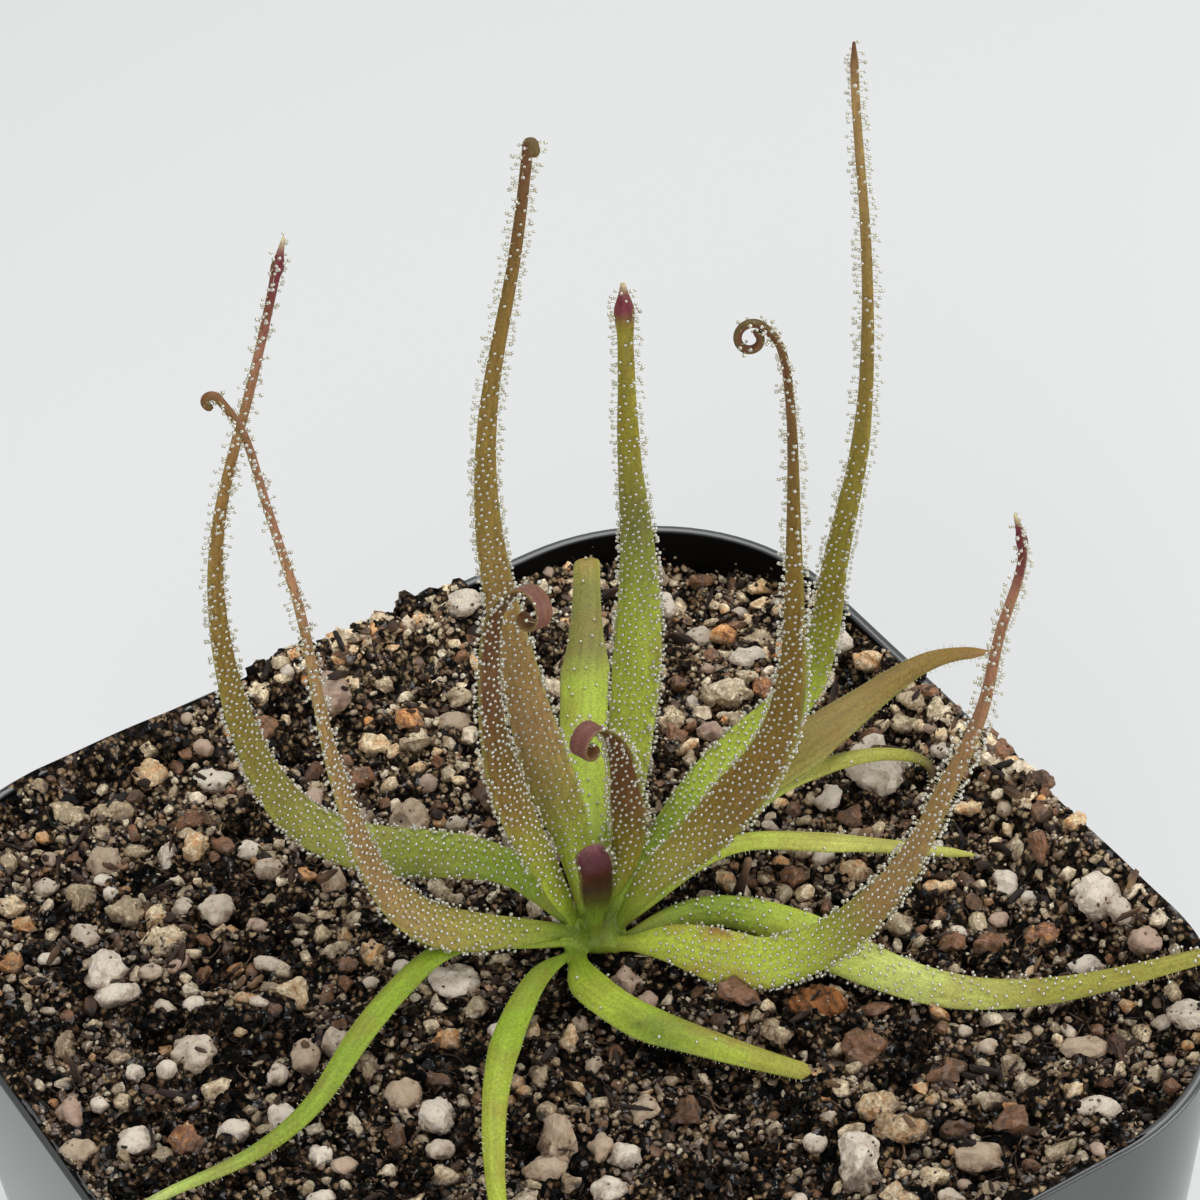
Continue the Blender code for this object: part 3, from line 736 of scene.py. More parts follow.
            (-17.0, -10.2, 1.4), (-20.1, -15.5, 0.9), (-24.3, -19.1, 0.4), (-30.3, -23.8, 1.9),
            (-33.0, -26.0, 2.0),
        ),
        blade=1.9, thread=0.8, widest=0.4, fade=1.1, roll=(0, 35), foot=1.3, dots=0.0, beads=0.0,
        stops=((0, LIME_GREEN), (0.2, FRESH_GREEN), (0.7, LEAF_GREEN), (0.88, WAXY_GREEN), (1, GREY_GREEN)),
    ),
}


# Leaf shapes


def on_plant(point):
    """A point in millimetres right, away and up from the crown, as a place in the pot's frame."""
    return CROWN + Matrix.Rotation(FRONT_TURN, 3, "Z") @ (Vector(point) * MM)


def smooth_curve(route):
    """A natural cubic spline through the route, as a function of its chord length."""
    points = np.array([on_plant(point) for point in route])
    steps = np.linalg.norm(np.diff(points, axis=0), axis=1)
    knots = np.concatenate(([0.0], np.cumsum(steps)))
    count = len(points)
    system = np.eye(count)
    pull = np.zeros((count, 3))
    for i in range(1, count - 1):
        before, after = steps[i - 1], steps[i]
        system[i, i - 1 : i + 2] = (before, 2 * (before + after), after)
        pull[i] = 6 * ((points[i + 1] - points[i]) / after - (points[i] - points[i - 1]) / before)
    bend = np.linalg.solve(system, pull)

    def at(distance):
        i = int(np.clip(np.searchsorted(knots, distance) - 1, 0, count - 2))
        step = steps[i]
        left, right = knots[i + 1] - distance, distance - knots[i]
        place = (bend[i] * left**3 + bend[i + 1] * right**3) / (6 * step)
        place += (points[i] / step - bend[i] * step / 6) * left
        place += (points[i + 1] / step - bend[i + 1] * step / 6) * right
        return Vector(place)

    return at, knots[-1]


def leaf_width(leaf, share):
    """Width in metres at a share of the leaf's length: foot, broad blade, long thread."""
    if share < leaf.widest:
        rise = max(0.0, share / leaf.widest)
        rise = rise * rise * (3 - 2 * rise)
        return (leaf.foot + (leaf.blade - leaf.foot) * rise) * MM
    fall = (1 - share) / (1 - leaf.widest)
    return (leaf.thread + (leaf.blade - leaf.thread) * fall**leaf.fade) * MM


def leaf_spine(leaf):
    """Points, tangents, sides and distances along the leaf's middle line, from inside the crown."""
    at, length = smooth_curve(leaf.route)
    count = round((length + LEAF_ROOT) / LEAF_STEP)
    distances = [length * i / count - LEAF_ROOT * (1 - i / count) for i in range(count + 1)]
    points = [at(distance) for distance in distances]
    tangents = []
    for i in range(count + 1):
        tangents.append((points[min(i + 1, count)] - points[max(i - 1, 0)]).normalized())
    side = tangents[0].cross(Vector((0, 0, 1))).normalized()
    sides = [side]
    for old, new in zip(tangents, tangents[1:]):
        side = old.rotation_difference(new) @ side
        sides.append(side)
    start, end = (math.radians(angle) for angle in leaf.roll)
    for i, distance in enumerate(distances):
        share = max(0.0, distance / length)
        sides[i] = Quaternion(tangents[i], start + (end - start) * share**3) @ sides[i]

    if leaf.curl:
        first, last, turns = leaf.curl
        point, tangent, side = points[-1], tangents[-1], sides[-1]
        whole = abs(turns) * 2 * math.pi
        bent = 0.0
        while bent < whole:
            radius = (first + (last - first) * bent / whole) * MM
            step_angle = CURL_STEP / radius
            half_turn = Quaternion(side, math.copysign(step_angle / 2, turns))
            tangent = half_turn @ tangent
            point = point + tangent * CURL_STEP
            tangent = half_turn @ tangent
            bent += step_angle
            points.append(point)
            tangents.append(tangent)
            sides.append(side)
            distances.append(distances[-1] + CURL_STEP)
    return points, tangents, sides, distances


def blend_stops(stops, share):
    """The colour at a share of the leaf's length, in linear red, green and blue."""
    places, colours = [place for place, _ in stops], np.array([paint(colour) for _, colour in stops])
    return np.array([np.interp(share, places, channel) for channel in colours.T])


def knot_shaded_colour(place, colour):
    """A leaf's colour near the middle of the crown, darkened to a deep green as painted shade where the
    bases crowd together.
    """
    near = max(0.0, 1 - (place - CROWN).length / KNOT_SHADOW_REACH) ** 1.3
    return blend(colour, paint(KNOT_SHADOW_GREEN), near)


def foot_share(distance):
    """The share of its width that a leaf has near its foot, where it narrows into the crown."""
    return 1 - FOOT_NARROWING * clamped(1 - distance / FOOT_LENGTH) ** 2


def section_size(leaf, seed, distance, length):
    """Half the width and half the depth of a leaf, at a distance from the crown."""
    half = leaf_width(leaf, distance / length) / 2 * foot_share(distance)
    half *= 1 + EDGE_WAVER * noise.noise(Vector((seed * 7.3, distance / WAVER_LENGTH, 0.5)))
    deep = LEAF_THICKNESS / 2
    to_tip = length - distance
    if leaf.bud:
        swell = math.exp(-(((to_tip - BUD_FROM_TIP) / BUD_REACH) ** 2))
        half += (leaf.bud * MM / 2 - half) * swell
        deep = max(deep, half * 0.8 * swell)
    rounding = min(1.0, leaf.tip + to_tip / TIP_ROUND)
    if leaf.curl or leaf.tip == 1:
        rounding = math.sqrt(max(0.05, 1 - max(0.0, 1 - to_tip / half) ** 2))
    half *= rounding
    deep *= rounding
    return max(half, deep), deep


def stained(colour, leaf, point, share, across, rise, seed):
    """A leaf's colour with its stains and its patches of painted shade, which are ragged at their edges."""
    for first, last, where, tint in leaf.stains:
        middle = (first + last) / 2
        near = max(0.0, 1 - abs(share - middle) / (last - middle))
        near *= max(0.0, 1 - abs(across - where) / 0.8)
        near *= 0.6 + noise.noise(point / STAIN_GRAIN + Vector((across * 1.5, rise, seed)))
        colour = blend(colour, paint(tint), min(0.85, max(0.0, near * 1.3)))
    return colour


def leaf_skin(leaf, seed):
    """Points, faces and named values of a leaf: a crescent section swept along its middle line."""
    points, tangents, sides, distances = leaf_spine(leaf)
    length = distances[-1]
    coil = math.pi * (leaf.curl[0] + leaf.curl[1]) * abs(leaf.curl[2]) * MM if leaf.curl else 0.0
    margin = paint(WAXY_GREEN)
    rings = []
    values = {key: [] for key in ("skin", "cells", "dots", "edges", "hairs", "reach")}
    for point, tangent, side, distance in zip(points, tangents, sides, distances):
        share = distance / length
        half, deep = section_size(leaf, seed, distance, length)
        coiled = length - distance < coil
        face = tangent.cross(side).normalized()
        bare = clamped((distance - BARE_FOOT) / BARE_FADE)
        blade = clamped((half - THREAD_HALF) / BLADE_FADE)
        # darkened near the crown's middle as painted shade
        main = knot_shaded_colour(point, blend_stops(leaf.stops, max(0.0, share)))
        waxy = main * (1 - leaf.pale_back) + margin * leaf.pale_back * main.mean() / margin.mean()
        back = paint(leaf.back) if leaf.back else waxy
        beaded = leaf.beads * (0.35 if coiled else 1.0)
        beaded *= min(0.45 + share * 2, max(0.0, (distance - BEADS_FROM) / BEADS_FADE), 1.0)
        ring = []
        for k in range(LEAF_SIDES):
            angle = -2 * math.pi * k / LEAF_SIDES
            across, rise = math.cos(angle), math.sin(angle)
            lift = rise * deep * (1 - 0.25 * blade * (1 - abs(across)))
            lift -= (half - deep) * LEAF_CAMBER * across * across
            ring.append(point + side * across * half - face * lift)
            # a paler margin: partly the leaf's own waxy edge and partly painted light shining through the
            # thin edge
            rim = max(0.0, (abs(across) - 0.86) / 0.14) * blade
            colour = blend(back if rise < -0.15 else main, margin, 0.35 * rim)
            on_face = 0.0 if coiled else clamped(rise * 3.0)
            on_edge = clamped((abs(across) - 0.82) / 0.08) if rise > -0.35 else 0.0
            here = {
                "skin": stained(colour, leaf, point, share, across, rise, seed),
                "cells": (across * half / MM, distance / MM, seed),
                "dots": on_face * bare * leaf.dots * (1 - 0.5 * rim) * (0.4 + 0.6 * blade),
                "edges": on_edge * beaded,
                "hairs": on_edge * bare * (1 - beaded),
                "reach": min(1.0, 0.45 + (1 - blade) * 0.8),
            }
            for key, value in here.items():
                values[key].append(value)
        rings.append(ring)
    return *skin_rings(rings), values


def fresh_leaf_tissue():
    """Living leaf: thin translucent cells under a soft waxy gloss, with fine streaks along them."""
    material, tree, shader = start_material(
        "fresh_leaf_tissue",
        {"IOR": 1.40, "Specular IOR Level": 0.4, "Subsurface Weight": 0.2, "Subsurface Scale": 0.35 * MM},
    )
    skin = add(tree, "ShaderNodeAttribute", attribute_name="skin")
    cells = add(tree, "ShaderNodeAttribute", attribute_name="cells").outputs["Vector"]
    place = add(tree, "ShaderNodeTexCoord").outputs["Object"]
    # veins run along the leaf about 0.3 mm apart, and are lost after 5 mm
    along = add(tree, "ShaderNodeMapping", {"Vector": cells, "Scale": (1 / 0.3, 1 / 5.0, 1.0)})
    streaks = add(tree, "ShaderNodeTexNoise", {"Vector": along, "Scale": 1.0, "Detail": 3.0})
    # single cells are about 0.1 mm, drawn at 0.2 mm so that they show
    fine = add(tree, "ShaderNodeTexNoise", {"Vector": place, "Scale": 1 / (0.2 * MM), "Detail": 2.0})
    clouds = add(tree, "ShaderNodeTexNoise", {"Vector": place, "Scale": 1 / (3.5 * MM), "Detail": 3.0})
    bright = add(tree, "ShaderNodeMapRange", {
        "Value": streaks, "From Min": 0.3, "From Max": 0.7, "To Min": 0.84, "To Max": 1.16,
    })
    grain = add(tree, "ShaderNodeMapRange", {
        "Value": fine, "From Min": 0.3, "From Max": 0.7, "To Min": 0.78, "To Max": 1.2,
    })
    both = add(tree, "ShaderNodeMath", {0: bright, 1: grain}, operation="MULTIPLY")
    shaded = add(tree, "ShaderNodeVectorMath", {0: skin.outputs["Color"], "Scale": both}, operation="SCALE")
    # clouds of warmer tissue a few millimetres long
    warm = add(tree, "ShaderNodeMapRange", {
        "Value": clouds, "From Min": 0.5, "From Max": 0.75, "To Max": 0.45,
    })
    ruddy = add(
        tree, "ShaderNodeMix", {"Factor": warm, "A": shaded, "B": linear("#8a6a34")}, data_type="RGBA",
    )
    wire_surface(tree, shader, ruddy, (fine, 0.42, 0.62), (fine, 0.7, 0.05))
    return material


def build_leaves(tissue):
    """The 18 leaves, each of which stands for its own solid."""
    leaves = {}
    for seed, (name, leaf) in enumerate(LEAVES.items()):
        points, faces, values = leaf_skin(leaf, seed)
        leaves[name] = add_mesh(name.replace("leaf_", "leafblade_"), points, faces, tissue, values)
    return leaves


# Crown


def build_crown(leaves, tissue):
    """The leaf bases run together: their feet and a low dome are remeshed as one and smoothed."""
    skins, feet, first = [], [], []
    for leaf in leaves:
        rings = []
        for point, tangent, side, distance in zip(*leaf_spine(leaf)):
            if distance > CROWN_REACH:
                break
            left = (CROWN_REACH - distance) / (CROWN_REACH + LEAF_ROOT)
            half = leaf_width(leaf, distance / USUAL_LENGTH) / 2 * foot_share(distance) * (0.8 + 0.5 * left)
            deep = LEAF_THICKNESS / 2 * (0.55 + 0.8 * left)
            face = tangent.cross(side).normalized()
            ring = []
            for k in range(FOOT_SIDES):
                angle = -math.pi * k / (FOOT_SIDES / 2)
                across = math.cos(angle)
                lift = math.sin(angle) * deep - half * LEAF_CAMBER * across * across
                ring.append(point + side * across * half - face * lift)
            rings.append(ring)
            feet.append(point)
            first.append(paint(leaf.stops[0][1]))
        skins.append(skin_rings(rings))
    dome = []
    for degrees in range(-88, 81, 14):
        angle = math.radians(degrees)
        middle = CROWN + Vector((0, 0, CROWN_RISE * math.sin(angle) - CROWN_SINK))
        dome.append(circle(middle, CROWN_RADIUS * math.cos(angle), 24))
    rough = add_mesh("crown_parts", *join_skins([*skins, skin_rings(dome)]))
    fused = rough.modifiers.new("fused", "REMESH")
    fused.mode = "VOXEL"
    fused.voxel_size = CROWN_GRAIN
    soft = rough.modifiers.new("soft", "SMOOTH")
    soft.factor = 0.6
    soft.iterations = 5
    mesh = plain_mesh(rough)
    bpy.data.objects.remove(rough)
    mesh.materials.append(tissue)
    mesh.shade_smooth()
    feet, first = np.array(feet), np.array(first)
    skin, cells, hair = [], [], []
    for vert in mesh.vertices:
        away = vert.co - CROWN
        pull = (np.linalg.norm(feet - np.array(vert.co), axis=1) + 0.1 * MM) ** -4
        # the crown too is darkened towards its middle as painted shade
        skin.append(knot_shaded_colour(vert.co, pull @ first / pull.sum()))
        cells.append(tuple(away / MM))
        outwards = clamped(math.hypot(away.x, away.y) / CROWN_RADIUS - 0.25)
        hair.append(clamped((-away.z / MM + 0.1) / 0.5) * clamped(outwards * 2 - 1))
    write_values(mesh, {"skin": skin, "cells": cells, "hair": hair})
    return add_object("leaf_bases", mesh)


# Droplets and hairs


def dew_tree(droplet, stalk_tissue):
    """Stalked glands: a tapered stalk at each point of a surface, with a droplet at its end."""
    tree, given, result = new_tree("stalked_glands", {
        "Where": "String", "Spacing": "Float", "Shortest Stalk": "Float", "Longest Stalk": "Float",
        "Stalk Radius": "Float", "Smallest Droplet": "Float", "Largest Droplet": "Float",
        "Lean": "Float", "Seed": "Int",
    })
    where = add(tree, "GeometryNodeInputNamedAttribute", {"Name": given["Where"]}, data_type="FLOAT")
    area = add(tree, "ShaderNodeMath", {0: given["Spacing"], 1: 2.0}, operation="POWER")
    most = add(tree, "ShaderNodeMath", {0: 6.0, 1: area}, operation="DIVIDE")
    strewn = add(tree, "GeometryNodeDistributePointsOnFaces", {
        "Mesh": given["Geometry"], "Distance Min": given["Spacing"], "Density Max": most,
        "Density Factor": where, "Seed": given["Seed"],
    }, distribute_method="POISSON")
    sway = add(
        tree, "FunctionNodeRandomValue",
        {"Min": (-1.0, -1.0, -1.0), "Max": (1.0, 1.0, 1.0), "Seed": given["Seed"]},
        data_type="FLOAT_VECTOR",
    )
    leant = add(tree, "ShaderNodeVectorMath", {0: sway, "Scale": given["Lean"]}, operation="SCALE")
    outward = add(tree, "ShaderNodeVectorMath", {0: strewn.outputs["Normal"], 1: leant}, operation="ADD")
    outward = add(tree, "ShaderNodeVectorMath", {0: outward}, operation="NORMALIZE")
    reach = add(tree, "GeometryNodeInputNamedAttribute", {"Name": "reach"}, data_type="FLOAT")
    tall = add(
        tree, "FunctionNodeRandomValue",
        {"Min": given["Shortest Stalk"], "Max": given["Longest Stalk"], "Seed": 3}, data_type="FLOAT",
    )
    tall = add(tree, "ShaderNodeMath", {0: tall, 1: reach}, operation="MULTIPLY")
    size = add(
        tree, "FunctionNodeRandomValue",
        {"Min": given["Smallest Droplet"], "Max": given["Largest Droplet"], "Seed": 4}, data_type="FLOAT",
    )

    turn = add(tree, "FunctionNodeAlignRotationToVector", {"Vector": outward}, axis="Z")
    slim = add(tree, "ShaderNodeCombineXYZ", {
        "X": given["Stalk Radius"], "Y": given["Stalk Radius"], "Z": tall,
    })
    cone = add(
        tree, "GeometryNodeMeshCone",
        {"Vertices": 3, "Radius Top": 0.5, "Radius Bottom": 1.0, "Depth": 1.0}, fill_type="NONE",
    )
    cone = add(tree, "GeometryNodeSetMaterial", {"Geometry": cone, "Material": stalk_tissue})
    stalks = add(tree, "GeometryNodeInstanceOnPoints", {
        "Points": strewn, "Instance": cone, "Rotation": turn, "Scale": slim,
    })

    far = add(tree, "ShaderNodeMath", {0: size, 1: 0.7, 2: tall}, operation="MULTIPLY_ADD")
    shift = add(tree, "ShaderNodeVectorMath", {0: outward, "Scale": far}, operation="SCALE")
    lifted = add(tree, "GeometryNodeSetPosition", {"Geometry": strewn, "Offset": shift})
    ball = add(tree, "GeometryNodeMeshIcoSphere", {"Radius": 1.0, "Subdivisions": 1})
    ball = add(tree, "GeometryNodeSetShadeSmooth", {"Geometry": ball})
    ball = add(tree, "GeometryNodeSetMaterial", {"Geometry": ball, "Material": droplet})
    drops = add(tree, "GeometryNodeInstanceOnPoints", {"Points": lifted, "Instance": ball, "Scale": size})
    joined = add(tree, "GeometryNodeJoinGeometry")
    for part in (stalks, drops):
        tree.links.new(part.outputs[0], joined.inputs[0])
    whole = add(tree, "GeometryNodeRealizeInstances", {"Geometry": joined})
    connect(tree, result, {"Geometry": whole})
    return tree


def mucilage():
    """Mucilage: a clear drop as bright as a lens, so it shows a white point on the leaf's own colour."""
    material, _, _ = start_material("mucilage", {
        "Base Color": linear("#e2decb"), "Roughness": 0.03, "IOR": 1.4, "Transmission Weight": 0.7,
        "Coat Weight": 1.0, "Coat Roughness": 0.02, "Coat IOR": 2.6,
    })
    return material


def gland_stalk():
    """Gland stalk: a hair of pale translucent cells with a faint shine."""
    material, tree, shader = start_material("gland_stalk", {
        "Roughness": 0.4, "Subsurface Weight": 0.3, "Subsurface Scale": 0.2 * MM,
    })
    place = add(tree, "ShaderNodeTexCoord").outputs["Object"]
    cloud = add(tree, "ShaderNodeTexNoise", {"Vector": place, "Scale": 1 / (2.0 * MM)})
    colour = add(tree, "ShaderNodeValToRGB", {"Fac": cloud}, stops=[(0.35, "#a8a070"), (0.65, "#d8d4b4")])
    connect(tree, shader, {"Base Color": colour})
    return material


# Soil


def rounded_cell(u, v, half, corner):
    """Maps the square from -1 to 1 onto the rounded square, so a grid fits the pot."""
    straight = (half - corner) / half
    x, y = u * half, v * half
    if abs(u) > straight and abs(v) > straight:
        s = (abs(u) - straight) / (1 - straight)
        t = (abs(v) - straight) / (1 - straight)
        x = math.copysign(half - corner + corner * s * math.sqrt(1 - t * t / 2), u)
        y = math.copysign(half - corner + corner * t * math.sqrt(1 - s * s / 2), v)
    return x, y


def soil_inset():
    """How far the soil's edge lies inside the pot's outside: it laps over the inner half of the lip."""
    return (POT_HEIGHT - SOIL_LEVEL) * POT_TAPER + POT_WALL / 2


def soil_height(x, y):
    """Height of the soil: level, banked up to the rim, lower in the back corner, heaped over the
    rim on the right and at the back."""
    half = POT_SIDE / 2 - soil_inset()
    inside = half - max(abs(x), abs(y))
    height = SWELL_RISE * noise.noise(Vector((x / SWELL, y / SWELL, 0.3)))
    height += SOIL_BANK * max(0.0, 1 - inside / SOIL_BANK_WIDTH) ** 1.5
    slope = min(1.0, inside / RIM_SLOPE + 0.35)
    heap = clamped((x / half - 0.86) / 0.1) * clamped((0.75 - y / half) / 0.3)
    height += RIGHT_HEAP * heap * slope
    ends = clamped((x - BACK_STRETCH[0]) / HEAP_END) * clamped((BACK_STRETCH[1] - x) / HEAP_END)
    heap = clamped((y / half - 0.84) / 0.1) * ends
    height += BACK_HEAP * heap * slope
    height -= BACK_CORNER_DIP * clamped(((x + y) / (2 * half) - 0.45) / 0.4)
    return SOIL_LEVEL + height


def uneven(tree, place, size, detail):
    """Noise above and below nought, with lumps of a size."""
    per = add(tree, "ShaderNodeMath", {0: 1.0, 1: size}, operation="DIVIDE")
    lumps = add(tree, "ShaderNodeTexNoise", {
        "Vector": place, "Scale": per, "Detail": detail, "Roughness": 0.6,
    })
    return add(tree, "ShaderNodeMath", {0: lumps, 1: -0.5}, operation="ADD")


def settle(tree, given, rise):
    """Moves points straight down onto the ground, and up again by a rise."""
    ground = add(tree, "GeometryNodeObjectInfo", {"Object": given["Ground"]}).outputs["Geometry"]
    below = add(tree, "GeometryNodeRaycast", {
        "Target Geometry": ground, "Source Position": add(tree, "GeometryNodeInputPosition"),
        "Ray Direction": (0.0, 0.0, -1.0), "Ray Length": DROP,
    })
    upward = add(tree, "ShaderNodeCombineXYZ", {"Z": rise})
    seat = add(tree, "ShaderNodeVectorMath", {0: below.outputs["Hit Position"], 1: upward}, operation="ADD")
    return add(tree, "GeometryNodeSetPosition", {"Geometry": given["Geometry"], "Position": seat})


def crumbling_tree(peat):
    """Breaks a smooth bed into crumbs with noise at two sizes."""
    tree, given, result = new_tree("crumbling", {
        "Crumb": "Float", "Crumb Rise": "Float", "Grit": "Float", "Grit Rise": "Float",
    })
    place = add(tree, "GeometryNodeInputPosition")
    top = add(tree, "GeometryNodeInputNamedAttribute", {"Name": "top"}, data_type="FLOAT")
    rise = 0.0
    for size, depth in (("Crumb", "Crumb Rise"), ("Grit", "Grit Rise")):
        lumps = uneven(tree, place, given[size], 2.0)
        rise = add(tree, "ShaderNodeMath", {0: lumps, 1: given[depth], 2: rise}, operation="MULTIPLY_ADD")
    rise = add(tree, "ShaderNodeMath", {0: rise, 1: top}, operation="MULTIPLY")
    upward = add(tree, "ShaderNodeCombineXYZ", {"Z": rise})
    moved = add(tree, "GeometryNodeSetPosition", {"Geometry": given["Geometry"], "Offset": upward})
    painted = add(tree, "GeometryNodeSetMaterial", {"Geometry": moved, "Material": peat})
    connect(tree, result, {"Geometry": painted})
    return tree


def build_bed(peat):
    """The bed of peat that fills the pot, closed underneath."""
    half, corner = POT_SIDE / 2 - soil_inset(), POT_CORNER - soil_inset()
    cells = round(2 * half / BED_CELL)
    points, faces, top = [], [], []
    for row in range(cells + 1):
        for column in range(cells + 1):
            u, v = 2 * column / cells - 1, 2 * row / cells - 1
            x, y = rounded_cell(u, v, half, corner)
            z = soil_height(x, y)
            flare = 1 + (z - SOIL_LEVEL) * POT_TAPER / half
            points.append((x * flare, y * flare, z))
            top.append(min(1.0, (1 - max(abs(u), abs(v))) * half / EDGE_CALM))
    span = cells + 1
    for row in range(cells):
        for column in range(cells):
            i = row * span + column
            faces.append((i, i + 1, i + span + 1, i + span))
    border = list(range(span)) + [row * span + cells for row in range(1, span)]
    border += [cells * span + column for column in reversed(range(cells))]
    border += [row * span for row in reversed(range(1, cells))]
    floor = POT_FLOOR + SOIL_GAP
    before = border
    for height, inset in ((floor + SOIL_HEEL, 0.0), (floor, SOIL_HEEL)):
        shrink = (1 - (SOIL_LEVEL - floor) * POT_TAPER / half) * (1 - inset / half)
        after = []
        for i in border:
            after.append(len(points))
            points.append((points[i][0] * shrink, points[i][1] * shrink, height))
            top.append(0.0)
        for k in range(len(border)):
            following = (k + 1) % len(border)
            faces.append((before[following], before[k], after[k], after[following]))
        before = after
    faces.append(tuple(reversed(before)))
    smooth_bed = add_mesh("smooth_bed", points, faces, attributes={"top": top})
    return grow("peat_bed", smooth_bed, crumbling_tree(peat), {
        "Crumb": 3.0 * MM, "Crumb Rise": 4.0 * MM, "Grit": 0.8 * MM, "Grit Rise": 1.8 * MM,
    })


class Stone(NamedTuple):
    """A stone of the surface, by its pixel in the photograph and its real size in millimetres."""

    photo_x: int
    photo_y: int
    wide: float
    high: float
    kind: str


# The words for stones under the mix that each belongs to, with their places on the mix's ramp
KINDS = {
    kind: (mix, tint)
    for mix, kinds in {
        "perlite": {"white": 0.1, "grey_white": 0.45, "dirty_white": 0.75, "pinkish": 1.0},
        "gravel": {
            "dark": 0.0, "brown": 0.15, "red_brown": 0.26, "orange": 0.36, "tan": 0.5, "cream": 0.62,
            "olive": 0.75, "grey": 0.87, "quartz": 1.0,
        },
        "clods": {"clod": 0.5},
        "bark": {"bark": 0.3, "dark_bark": 0.9},
        "crumb": {"peat": 0.5},
    }.items()
    for kind, tint in kinds.items()
}

